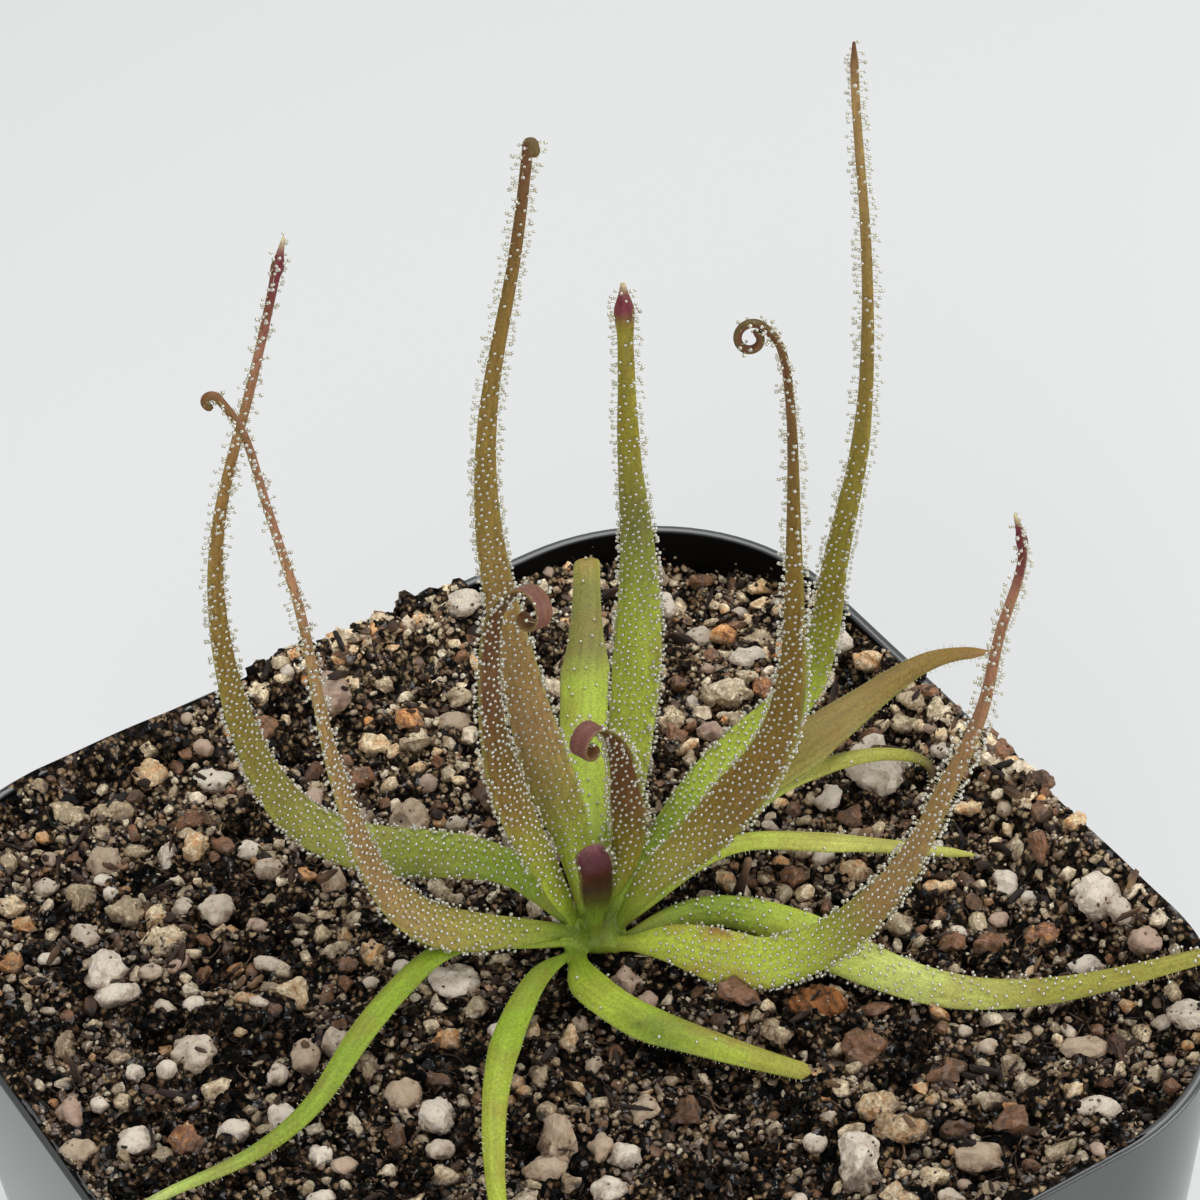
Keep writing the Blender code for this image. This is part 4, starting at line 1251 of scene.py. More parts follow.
STONES = [Stone(*entry) for entry in (
    (411, 604, 2.8, 2.4, "clod"), (258, 662, 2.4, 1.8, "clod"), (285, 655, 1.8, 1.3, "clod"),
    (215, 772, 3.9, 2.2, "white"), (105, 855, 2.9, 2.7, "dirty_white"), (168, 845, 1.8, 2.9, "white"),
    (217, 903, 2.6, 2.7, "grey_white"), (46, 880, 2.0, 1.7, "grey_white"),
    (183, 902, 2.0, 1.7, "grey_white"), (85, 927, 2.4, 2.0, "grey_white"), (250, 845, 2.4, 1.6, "white"),
    (288, 828, 2.2, 1.0, "white"), (104, 878, 1.5, 1.1, "white"), (410, 815, 3.0, 3.2, "dirty_white"),
    (107, 972, 2.8, 3.5, "white"), (118, 995, 3.4, 2.0, "white"), (50, 958, 1.7, 1.1, "white"),
    (50, 1006, 1.6, 0.9, "grey_white"), (195, 1048, 3.0, 3.5, "grey_white"),
    (165, 1005, 1.8, 1.4, "grey_white"), (195, 1003, 1.6, 1.4, "white"), (135, 1073, 1.6, 1.5, "white"),
    (168, 1072, 1.6, 1.7, "white"), (70, 1108, 1.9, 2.3, "pinkish"), (100, 1105, 1.5, 1.3, "white"),
    (78, 1147, 2.8, 1.9, "dirty_white"), (135, 1137, 2.8, 2.5, "white"), (235, 1130, 2.4, 1.9, "white"),
    (278, 1073, 1.7, 1.7, "grey_white"), (308, 1057, 1.9, 2.6, "dirty_white"),
    (283, 1110, 2.3, 2.5, "white"), (403, 1090, 2.7, 2.5, "dirty_white"), (438, 1113, 2.7, 2.8, "white"),
    (440, 1150, 2.0, 1.7, "grey_white"), (322, 1195, 2.2, 1.3, "white"), (400, 965, 1.9, 1.6, "white"),
    (455, 975, 3.8, 3.4, "white"), (270, 960, 2.3, 1.4, "grey_white"), (560, 1130, 2.6, 4.5, "dirty_white"),
    (545, 1165, 3.3, 2.0, "dirty_white"), (600, 1140, 2.0, 2.6, "dirty_white"),
    (625, 1150, 2.6, 2.3, "white"), (610, 1190, 2.6, 2.0, "white"), (860, 1160, 2.6, 4.5, "white"),
    (815, 1145, 1.6, 1.7, "white"), (980, 1155, 3.6, 2.4, "dirty_white"), (1100, 1105, 3.6, 2.0, "white"),
    (1085, 1045, 3.4, 1.9, "dirty_white"), (1085, 960, 3.3, 1.7, "white"), (1145, 940, 2.3, 2.5, "pinkish"),
    (1190, 1015, 3.4, 2.3, "white"), (748, 652, 3.1, 1.9, "white"), (700, 630, 2.7, 2.2, "grey_white"),
    (667, 612, 1.2, 2.2, "white"), (838, 640, 2.1, 2.7, "white"), (875, 765, 4.4, 5.0, "white"),
    (1005, 880, 1.9, 2.1, "white"), (1030, 890, 2.1, 1.7, "white"), (1095, 890, 3.6, 3.5, "white"),
    (1120, 905, 2.1, 2.5, "grey_white"), (455, 720, 2.9, 2.1, "dirty_white"), (465, 600, 3.1, 2.3, "white"),
    (330, 690, 3.7, 3.6, "pinkish"), (198, 848, 2.0, 2.6, "tan"), (165, 935, 3.6, 2.6, "cream"),
    (60, 805, 5.2, 2.2, "olive"), (115, 810, 3.0, 2.2, "olive"), (150, 770, 2.6, 2.9, "tan"),
    (305, 870, 2.1, 1.3, "orange"), (325, 915, 1.7, 0.8, "cream"), (322, 935, 1.6, 1.6, "cream"),
    (10, 960, 2.0, 2.1, "orange"), (33, 985, 1.6, 1.0, "tan"), (92, 1020, 1.0, 1.1, "cream"),
    (240, 1027, 1.1, 1.0, "tan"), (188, 1135, 2.4, 3.0, "red_brown"), (245, 995, 1.9, 1.2, "tan"),
    (370, 1060, 2.0, 2.7, "olive"), (445, 1173, 2.2, 1.6, "cream"), (515, 1080, 1.5, 1.5, "tan"),
    (570, 1040, 1.4, 2.4, "tan"), (735, 1127, 1.2, 1.1, "quartz"), (775, 1128, 1.3, 1.6, "grey"),
    (830, 1065, 2.7, 1.7, "tan"), (870, 1040, 3.4, 3.3, "brown"), (880, 1100, 3.3, 2.6, "tan"),
    (900, 1130, 4.0, 2.7, "tan"), (1030, 1085, 2.3, 2.3, "grey"), (1040, 933, 3.5, 1.8, "red_brown"),
    (990, 940, 2.8, 2.0, "brown"), (1010, 1110, 1.1, 0.8, "orange"), (932, 1103, 1.2, 0.9, "tan"),
    (725, 635, 2.3, 1.8, "orange"), (727, 690, 3.8, 3.0, "grey"), (760, 580, 2.0, 1.7, "tan"),
    (762, 685, 1.8, 2.1, "red_brown"), (672, 715, 2.0, 2.6, "olive"), (710, 730, 2.1, 1.8, "pinkish"),
    (870, 655, 2.7, 2.0, "tan"), (905, 715, 2.5, 1.9, "grey"), (970, 800, 2.9, 1.7, "tan"),
    (1075, 820, 2.2, 1.7, "tan"), (1015, 845, 1.6, 2.0, "grey"), (1040, 850, 1.4, 2.9, "brown"),
    (940, 885, 2.4, 1.4, "tan"), (855, 860, 2.4, 2.1, "tan"), (410, 720, 2.5, 1.9, "orange"),
    (370, 720, 1.0, 1.0, "orange"), (390, 625, 2.0, 0.9, "tan"), (385, 680, 1.6, 1.5, "olive"),
    (985, 750, 2.2, 2.0, "dark"), (1005, 745, 2.0, 2.2, "brown"), (1050, 775, 2.2, 2.0, "dark"),
    (310, 660, 1.2, 1.0, "brown"), (52, 1097, 0.8, 0.9, "orange"), (820, 1000, 4.2, 3.2, "bark"),
    (1118, 1043, 1.6, 2.4, "dark_bark"), (925, 695, 4.4, 1.8, "olive"), (65, 1045, 1.6, 3.3, "olive"),
    (416, 588, 2.6, 2.0, "peat"), (436, 582, 1.6, 1.8, "peat"), (312, 652, 1.8, 1.3, "peat"),
    (1062, 770, 1.6, 1.4, "peat"),
)]


def on_the_bed(photo_x, photo_y):
    """Where the line of sight through a pixel of the photograph meets the soil."""
    right, up, back = camera_axes()
    eye = CAMERA_AIM + back * CAMERA_DISTANCE
    focal = CAMERA_LENS / SENSOR * PHOTO_SIDE
    sight = right * (photo_x - PHOTO_SIDE / 2) + up * (PHOTO_SIDE / 2 - photo_y) - back * focal
    level = SOIL_LEVEL
    for _ in range(4):
        place = eye + sight * ((level - eye.z) / sight.z)
        level = soil_height(place.x, place.y)
    return place


def stoniness(x, y):
    """How thickly stones lie: most at the back and right, least in front of the plant."""
    half = POT_SIDE / 2 - soil_inset()
    towards_back = (x + y) / (2 * half)
    away = math.hypot(x - BARE_PATCH[0], y - BARE_PATCH[1])
    bare_front = math.exp(-((away / PATCH_REACH) ** 2))
    return max(0.25, min(1.0, 0.55 + 0.9 * towards_back)) * (1 - 0.6 * bare_front)


class Mix(NamedTuple):
    """Grains of one sort. Lengths are millimetres; lump rise and pit depth are shares of a radius."""

    count: int
    smallest: float
    largest: float
    facets: int
    finish: str
    apart: float = 0.85
    stretch: float = 1.5
    standing: float = 0.2
    chip: float = 0.8
    lump: float = 1.0
    lump_rise: float = 1.0
    pit: float = 1.0
    pit_depth: float = 0.0
    smooth: bool = True
    on_stones: bool = False


MIXES = {
    "perlite": Mix(0, 0.8, 1.5, 4, "perlite", 0.95, 1.35, 0.3, 0.8, 1.5, 1.3, 0.8, 0.08),
    "gravel": Mix(0, 0.8, 1.4, 4, "gravel", 0.9, 1.5, 0.15, 0.68, 1.1, 1.6, 0.7, 0.12),
    "bark": Mix(0, 0.8, 1.4, 4, "bark", 0.9, 1.5, 0.3, 0.62, 0.7, 2.2),
    "small_perlite": Mix(100, 0.55, 1.2, 3, "perlite", 0.85, 1.5, 0.25, 0.84, 1.2, 1.8, 1.0, 0.1),
    "chippings": Mix(120, 0.9, 1.45, 3, "gravel", 0.85, 1.7, 0.05, 0.62, 1.0, 2.0),
    "small_chippings": Mix(600, 0.5, 0.92, 2, "gravel", 0.8, 1.9, 0.0, 0.64, 0.8, 2.0),
    "clods": Mix(260, 0.8, 1.5, 3, "peat", 0.72, 1.8, 0.0, 1.1, 0.7, 3.0),
    "grit": Mix(1700, 0.3, 0.5, 2, "quartz", 0.76, 1.9, 0.0, 0.64, 0.6, 2.0),
    "coarse_sand": Mix(4600, 0.16, 0.32, 1, "quartz", 0.7, 1.8, 0.1, 0.95, 0.4, 1.6, smooth=False),
    "crumb": Mix(1500, 0.25, 0.6, 2, "peat", 0.7, 2.2, 0.0, 1.1, 0.4, 3.4),
    "slivers": Mix(420, 0.25, 0.6, 1, "fibre", 0.0, 9.0, 0.3, 1.1, 0.8, 1.0, smooth=False, on_stones=True),
    "fine_sand": Mix(
        2200, 0.08, 0.16, 1, "quartz", 0.0, 1.5, 0.3, 0.95, 0.3, 1.2, smooth=False, on_stones=True,
    ),
    "peat_dust": Mix(
        1000, 0.06, 0.18, 1, "fibre", 0.0, 2.6, 0.1, 1.1, 0.3, 2.0, smooth=False, on_stones=True,
    ),
}

# Places on the ramps of the stones that come by chance: mostly tan, cream, olive and grey
CHANCE_TINTS = (0.0, 0.06, 0.1, 0.14, 0.42, 0.5, 0.56, 0.62, 0.7, 0.75, 0.79, 0.84, 0.87, 0.92, 0.98)


class Grain(NamedTuple):
    """A grain of the surface: place in plan, half sizes, turn and place on its mix's ramp."""

    x: float
    y: float
    size: tuple
    turn: tuple
    tint: float


def leaf_undersides():
    """Places along the leaves, half widths and heights, where they run low over the soil."""
    low = []
    for leaf in LEAVES.values():
        at, length = smooth_curve(leaf.route)
        for i in range(81):
            place = at(length * i / 80)
            if place.z < CROWN.z + 7 * MM:
                low.append((place.x, place.y, leaf_width(leaf, i / 80) / 2, place.z))
    return np.array(low)


def scatter_grains():
    """The grains of each mix: the stones of the photograph, then chance ones, largest first."""
    draw = random.Random(SCATTER_SEED)
    undersides = leaf_undersides()
    half = POT_SIDE / 2 - soil_inset()
    mixes = {name: [] for name in MIXES}
    taken = {}

    def cell_of(x, y):
        return int(x // SEARCH_CELL), int(y // SEARCH_CELL)

    def is_free(x, y, radius, share):
        column, row = cell_of(x, y)
        for near in itertools.product(range(column - 2, column + 3), range(row - 2, row + 3)):
            for a, b, r in taken.get(near, ()):
                if math.hypot(x - a, y - b) < (radius + r) * share:
                    return False
        return True

    def headroom(x, y, radius):
        """Height from the soil to the lowest leaf above this place."""
        apart = np.hypot(undersides[:, 0] - x, undersides[:, 1] - y) - undersides[:, 2] - radius
        over = undersides[apart < 0]
        if not len(over):
            return 1.0
        return float(over[:, 3].min()) - soil_height(x, y) - LEAF_THICKNESS - BED_ROUGHNESS

    def any_turn():
        return draw.uniform(-0.7, 0.7), draw.uniform(-0.7, 0.7), draw.uniform(0, 2 * math.pi)

    def lay(mix, x, y, size, turn, tint, claim=True):
        room = headroom(x, y, max(size[:2]))
        if room < size[2] * 1.2:
            size = (size[0], size[1], max(room, 0.1 * MM) / 1.2)
        mixes[mix].append(Grain(x, y, size, turn, tint))
        if claim:
            taken.setdefault(cell_of(x, y), []).append((x, y, (size[0] + size[1]) / 2))

    for stone in STONES:
        mix, tint = KINDS[stone.kind]
        # a stone stands on the soil about where its lower edge shows
        place = on_the_bed(stone.photo_x, stone.photo_y + stone.high * 3)
        x, y = (max(-STONES_WITHIN, min(STONES_WITHIN, value)) for value in place.xy)
        wide, high = stone.wide * MM / 2, stone.high * MM / 2
        flat = 0.45 if mix == "bark" else 0.82
        tilt = (draw.uniform(-0.15, 0.15), draw.uniform(-0.15, 0.15))
        turn = (*tilt, CAMERA_TURN + draw.uniform(-0.25, 0.25))
        lay(mix, x, y, (wide, high * 1.02, high * flat), turn, tint)

    for name, mix in MIXES.items():
        made = tries = 0
        while made < mix.count and tries < mix.count * 12:
            tries += 1
            radius = (mix.smallest + (mix.largest - mix.smallest) * draw.random() ** 1.6) * MM
            x, y = rounded_cell(draw.uniform(-1, 1), draw.uniform(-1, 1), half - radius * 0.9, POT_CORNER)
            cluster = noise.noise(Vector((x / CLUMP, y / CLUMP, mix.smallest)))
            bare = noise.noise(Vector((x / BARE_SPOT, y / BARE_SPOT, 0.0)))
            chance = stoniness(x, y) * (0.85 + 1.6 * bare)
            if mix.finish == "peat":
                chance = 0.6 - 1.2 * bare
            elif radius < COARSE:
                chance = stoniness(x, y) ** 0.3 * (0.45 + 2.0 * cluster + 0.9 * bare)
            if draw.random() > chance:
                continue
            if math.hypot(x - CROWN.x, y - CROWN.y) < CROWN_RADIUS + radius:
                continue
            if mix.apart and not is_free(x, y, radius, mix.apart):
                continue
            if headroom(x, y, radius) < radius * 0.5 + (3 * MM if mix.on_stones else 0):
                continue
            stretch = draw.uniform(1.0, mix.stretch)
            size = (radius * stretch**0.5, radius / stretch**0.5, radius * draw.uniform(0.6, 0.95))
            claims = mix.apart > 0 and radius > 0.3 * MM
            lay(name, x, y, size, any_turn(), draw.choice(CHANCE_TINTS), claims)
            made += 1

    # the soil runs over the rim on the right and at the back left
    for (name, count), stretch in itertools.product(RIM_CRUMBS.items(), (RIGHT_STRETCH, BACK_STRETCH)):
        mix = MIXES[name]
        for _ in range(count):
            radius = draw.uniform(mix.smallest, mix.largest) * MM
            across = POT_SIDE / 2 - draw.uniform(0.5, 2.6) * MM
            along = draw.triangular(*stretch)
            x, y = (across, along) if stretch is RIGHT_STRETCH else (along, across)
            size = (radius * 1.2, radius * 0.9, radius * 0.8)
            lay(name, x, y, size, any_turn(), draw.choice(CHANCE_TINTS), claim=False)
    return mixes


def grain_tree():
    """Grains settled on what lies below: stretched balls, chipped by planes, lumped and pitted."""
    tree, given, result = new_tree("settled_grains", {
        "Ground": "Object", "Facets": "Int", "Smooth": "Bool", "Standing": "Float", "Chip": "Float",
        "Lump": "Float", "Lump Rise": "Float", "Pit": "Float", "Pit Depth": "Float", "Material": "Material",
    })
    place = add(tree, "GeometryNodeInputPosition")
    size = add(tree, "GeometryNodeInputNamedAttribute", {"Name": "size"}, data_type="FLOAT_VECTOR")
    turn = add(tree, "GeometryNodeInputNamedAttribute", {"Name": "turn"}, data_type="FLOAT_VECTOR")
    tall = add(tree, "ShaderNodeSeparateXYZ", {"Vector": size}).outputs["Z"]
    rise = add(tree, "ShaderNodeMath", {0: tall, 1: given["Standing"]}, operation="MULTIPLY")
    seated = settle(tree, given, rise)
    marked = add(
        tree, "GeometryNodeStoreNamedAttribute", {"Geometry": seated, "Name": "middle", "Value": place},
        data_type="FLOAT_VECTOR", domain="POINT",
    )
    number = add(tree, "GeometryNodeInputIndex")
    marked = add(
        tree, "GeometryNodeStoreNamedAttribute", {"Geometry": marked, "Name": "grain", "Value": number},
        data_type="INT", domain="POINT",
    )

    ball = add(tree, "GeometryNodeMeshIcoSphere", {"Radius": 1.0, "Subdivisions": given["Facets"]})
    ball = add(tree, "GeometryNodeSetShadeSmooth", {"Geometry": ball, "Shade Smooth": given["Smooth"]})
    spin = add(tree, "FunctionNodeEulerToRotation", {"Euler": turn})
    strewn = add(tree, "GeometryNodeInstanceOnPoints", {"Points": marked, "Instance": ball})
    whole = add(tree, "GeometryNodeRealizeInstances", {"Geometry": strewn})

    middle = add(tree, "GeometryNodeInputNamedAttribute", {"Name": "middle"}, data_type="FLOAT_VECTOR")
    grain = add(tree, "GeometryNodeInputNamedAttribute", {"Name": "grain"}, data_type="INT")
    unit = add(tree, "ShaderNodeVectorMath", {0: place, 1: middle}, operation="SUBTRACT")
    for plane in range(CHIP_PLANES):
        towards = add(tree, "FunctionNodeRandomValue", {
            "Min": (-1.0, -1.0, -1.0), "Max": (1.0, 1.0, 1.0), "ID": grain, "Seed": plane,
        }, data_type="FLOAT_VECTOR")
        towards = add(tree, "ShaderNodeVectorMath", {0: towards}, operation="NORMALIZE")
        along = add(tree, "ShaderNodeVectorMath", {0: unit, 1: towards}, operation="DOT_PRODUCT")
        beyond = add(
            tree, "ShaderNodeMath", {0: along.outputs["Value"], 1: given["Chip"]}, operation="SUBTRACT",
        )
        beyond = add(tree, "ShaderNodeMath", {0: beyond, 1: 0.0}, operation="MAXIMUM")
        cut = add(tree, "ShaderNodeVectorMath", {0: towards, "Scale": beyond}, operation="SCALE")
        unit = add(tree, "ShaderNodeVectorMath", {0: unit, 1: cut}, operation="SUBTRACT")
    sized = add(tree, "ShaderNodeVectorMath", {0: unit, 1: size}, operation="MULTIPLY")
    turned = add(tree, "FunctionNodeRotateVector", {"Vector": sized, "Rotation": spin})
    chipped = add(tree, "ShaderNodeVectorMath", {0: middle, 1: turned}, operation="ADD")
    whole = add(tree, "GeometryNodeSetPosition", {"Geometry": whole, "Position": chipped})

    normal = add(tree, "GeometryNodeInputNormal")
    lumps = uneven(tree, place, given["Lump"], 3.0)
    lumps = add(tree, "ShaderNodeMath", {0: lumps, 1: given["Lump Rise"]}, operation="MULTIPLY")
    per_pit = add(tree, "ShaderNodeMath", {0: 1.0, 1: given["Pit"]}, operation="DIVIDE")
    pits = add(tree, "ShaderNodeTexVoronoi", {"Vector": place, "Scale": per_pit}).outputs["Distance"]
    pits = add(tree, "ShaderNodeMapRange", {
        "Value": pits, "From Min": 0.15, "From Max": 0.5, "To Min": 1.0, "To Max": 0.0,
    })
    pits = add(tree, "ShaderNodeMath", {0: pits, 1: given["Pit Depth"]}, operation="MULTIPLY")
    push = add(tree, "ShaderNodeMath", {0: lumps, 1: pits}, operation="SUBTRACT")
    push = add(tree, "ShaderNodeMath", {0: push, 1: tall}, operation="MULTIPLY")
    push = add(tree, "ShaderNodeVectorMath", {0: normal, "Scale": push}, operation="SCALE")
    lumped = add(tree, "GeometryNodeSetPosition", {"Geometry": whole, "Offset": push})
    bend = add(tree, "GeometryNodeInputMeshEdgeAngle").outputs["Unsigned Angle"]
    crisp = add(tree, "ShaderNodeMath", {0: bend, 1: math.radians(32)}, operation="GREATER_THAN")
    lumped = add(
        tree, "GeometryNodeSetShadeSmooth", {"Geometry": lumped, "Selection": crisp, "Shade Smooth": False},
        domain="EDGE",
    )

    over = add(tree, "ShaderNodeVectorMath", {0: place, 1: middle}, operation="SUBTRACT")
    over = add(tree, "ShaderNodeSeparateXYZ", {"Vector": over}).outputs["Z"]
    over = add(tree, "ShaderNodeMath", {0: over, 1: tall}, operation="DIVIDE")
    told = add(
        tree, "GeometryNodeStoreNamedAttribute", {"Geometry": lumped, "Name": "above", "Value": over},
        data_type="FLOAT", domain="POINT",
    )
    painted = add(tree, "GeometryNodeSetMaterial", {"Geometry": told, "Material": given["Material"]})
    connect(tree, result, {"Geometry": painted})
    return tree


PEAT_STAIN = "#1c130c"
# the peat's colour towards the back right, which is paler
BACK_PEAT = "#6a543c"


def back_right_share(tree, place):
    """A share from the front left to the back right, towards which the soil is made paler."""
    plan = add(tree, "ShaderNodeSeparateXYZ", {"Vector": place})
    back = add(tree, "ShaderNodeMath", {0: plan.outputs["X"], 1: plan.outputs["Y"]}, operation="ADD")
    return add(tree, "ShaderNodeMapRange", {"Value": back, "From Min": -15 * MM, "From Max": 42 * MM})


def peat_cover(tree, place, colour, share, most=0.92):
    """Wet peat in patches on a stone, over its own colour, and thickest round its foot, where the darkening
    is partly clinging peat and partly painted shade.
    """
    above = add(tree, "ShaderNodeAttribute", attribute_name="above").outputs["Fac"]
    patches = add(tree, "ShaderNodeTexNoise", {
        "Vector": place, "Scale": 1 / (1.1 * MM), "Detail": 6.0, "Roughness": 0.72,
    })
    # the lower on the stone, the more dark cover: partly clinging peat and partly painted shade where the
    # stone meets the soil
    foot = add(tree, "ShaderNodeMapRange", {
        "Value": above, "From Min": -0.5, "From Max": 0.9, "To Min": 0.26, "To Max": -0.08,
    })
    # how far towards the back right the point lies: peat and stones are paler there
    dry = back_right_share(tree, place)
    soak = add(tree, "ShaderNodeMath", {0: patches, 1: foot}, operation="ADD")
    soak = add(tree, "ShaderNodeMath", {0: dry, 1: -0.07, 2: soak}, operation="MULTIPLY_ADD")
    cover = add(tree, "ShaderNodeMapRange", {
        "Value": soak, "From Min": 0.60 - share, "From Max": 0.74 - share, "To Max": most,
    })
    stain = add(tree, "ShaderNodeMapRange", {
        "Value": soak, "From Min": 0.46 - share, "From Max": 0.66 - share, "To Max": 0.5,
    })
    tea = add(
        tree, "ShaderNodeMix", {"Factor": stain, "A": colour, "B": linear("#7c5638")}, data_type="RGBA",
    )
    peat = add(tree, "ShaderNodeMix", {
        "Factor": dry, "A": linear(PEAT_STAIN), "B": linear(BACK_PEAT),
    }, data_type="RGBA")
    return add(tree, "ShaderNodeMix", {"Factor": cover, "A": tea, "B": peat}, data_type="RGBA")


def expanded_perlite():
    """Expanded perlite: white volcanic foam, dull and pitted, with painted shade in its pits, and darker
    round its foot with clinging peat and painted shade.
    """
    material, tree, shader = start_material("expanded_perlite", {
        "Specular IOR Level": 0.3, "IOR": 1.5, "Subsurface Weight": 0.1, "Subsurface Scale": 0.5 * MM,
    })
    place = add(tree, "ShaderNodeTexCoord").outputs["Object"]
    tint = add(tree, "ShaderNodeAttribute", attribute_name="tint").outputs["Fac"]
    base = add(tree, "ShaderNodeValToRGB", {"Fac": tint}, stops=[
        (0.0, "#dcd2c2"), (0.3, "#d2c4b0"), (0.5, "#c6b8a6"), (0.75, "#b4a18a"), (0.9, "#b8a08e"),
        (1.0, "#b49a88"),
    ])
    pores = add(tree, "ShaderNodeTexNoise", {"Vector": place, "Scale": 1 / (0.25 * MM), "Detail": 2.0})
    # painted shade: the pores are mixed darker
    holes = add(tree, "ShaderNodeMapRange", {
        "Value": pores, "From Min": 0.25, "From Max": 0.45, "To Min": 0.45, "To Max": 0.0,
    })
    pitted = add(
        tree, "ShaderNodeMix", {"Factor": holes, "A": base, "B": linear("#7c6e64")}, data_type="RGBA",
    )
    colour = peat_cover(tree, place, pitted, 0.03, most=0.7)
    wire_surface(tree, shader, colour, (pores, 0.7, 0.95), (pores, 0.8, 0.08))
    return material


def mixed_stone(name, uniform, stops, share, rough_range):
    """Small stones of many colours: each starts at its own place on a ramp and drifts along it."""
    material, tree, shader = start_material(name, uniform)
    place = add(tree, "ShaderNodeTexCoord").outputs["Object"]
    tint = add(tree, "ShaderNodeAttribute", attribute_name="tint").outputs["Fac"]
    cloud = add(tree, "ShaderNodeTexNoise", {
        "Vector": place, "Scale": 1 / (0.8 * MM), "Detail": 5.0, "Roughness": 0.7,
    })
    drift = add(tree, "ShaderNodeMapRange", {
        "Value": cloud, "From Min": 0.3, "From Max": 0.7, "To Min": -0.16, "To Max": 0.16,
    })
    drift = add(tree, "ShaderNodeMath", {0: drift, 1: tint}, operation="ADD")
    base = add(tree, "ShaderNodeValToRGB", {"Fac": drift}, stops=stops)
    speck = add(tree, "ShaderNodeTexNoise", {
        "Vector": place, "Scale": 1 / (0.22 * MM), "Detail": 4.0, "Roughness": 0.65,
    })
    shade = add(tree, "ShaderNodeMapRange", {
        "Value": speck, "From Min": 0.3, "From Max": 0.65, "To Min": 0.45, "To Max": 1.25,
    })
    paler = add(tree, "ShaderNodeMath", {0: back_right_share(tree, place), 1: 0.7, 2: 1.0}, operation="MULTIPLY_ADD")
    shade = add(tree, "ShaderNodeMath", {0: shade, 1: paler}, operation="MULTIPLY")
    spotted = add(tree, "ShaderNodeVectorMath", {0: base, "Scale": shade}, operation="SCALE")
    colour = peat_cover(tree, place, spotted, share)
    wire_surface(tree, shader, colour, (cloud, *rough_range), (speck, 1.0, 0.14))
    return material


def weathered_gravel():
    """Chips of weathered gravel, from dark brown through orange and tan to cream, olive and grey."""
    uniform = {"IOR": 1.5, "Coat Weight": 0.3, "Coat Roughness": 0.15}
    return mixed_stone("weathered_gravel", uniform, [
        (0.0, "#4c382a"), (0.12, "#765338"), (0.26, "#865a40"), (0.36, "#cc8c4c"), (0.5, "#c4a880"),
        (0.62, "#ead6b2"), (0.75, "#9e8c6e"), (0.87, "#b0a084"), (1.0, "#dacab0"),
    ], 0.07, (0.4, 0.75))


def quartz_sand():
    """Quartz sand, wet and a little clear, with dark, rusty and pale grains."""
    uniform = {"IOR": 1.54, "Transmission Weight": 0.1, "Coat Weight": 0.6, "Coat Roughness": 0.1}
    return mixed_stone("quartz_sand", uniform, [
        (0.0, "#2e2016"), (0.15, "#4a3524"), (0.3, "#6a4e34"), (0.38, "#a0744a"), (0.5, "#8c765c"),
        (0.62, "#b49e7e"), (0.72, "#645240"), (0.82, "#7c6a54"), (0.92, "#c4b494"), (1.0, "#dccfb4"),
    ], 0.03, (0.2, 0.5))


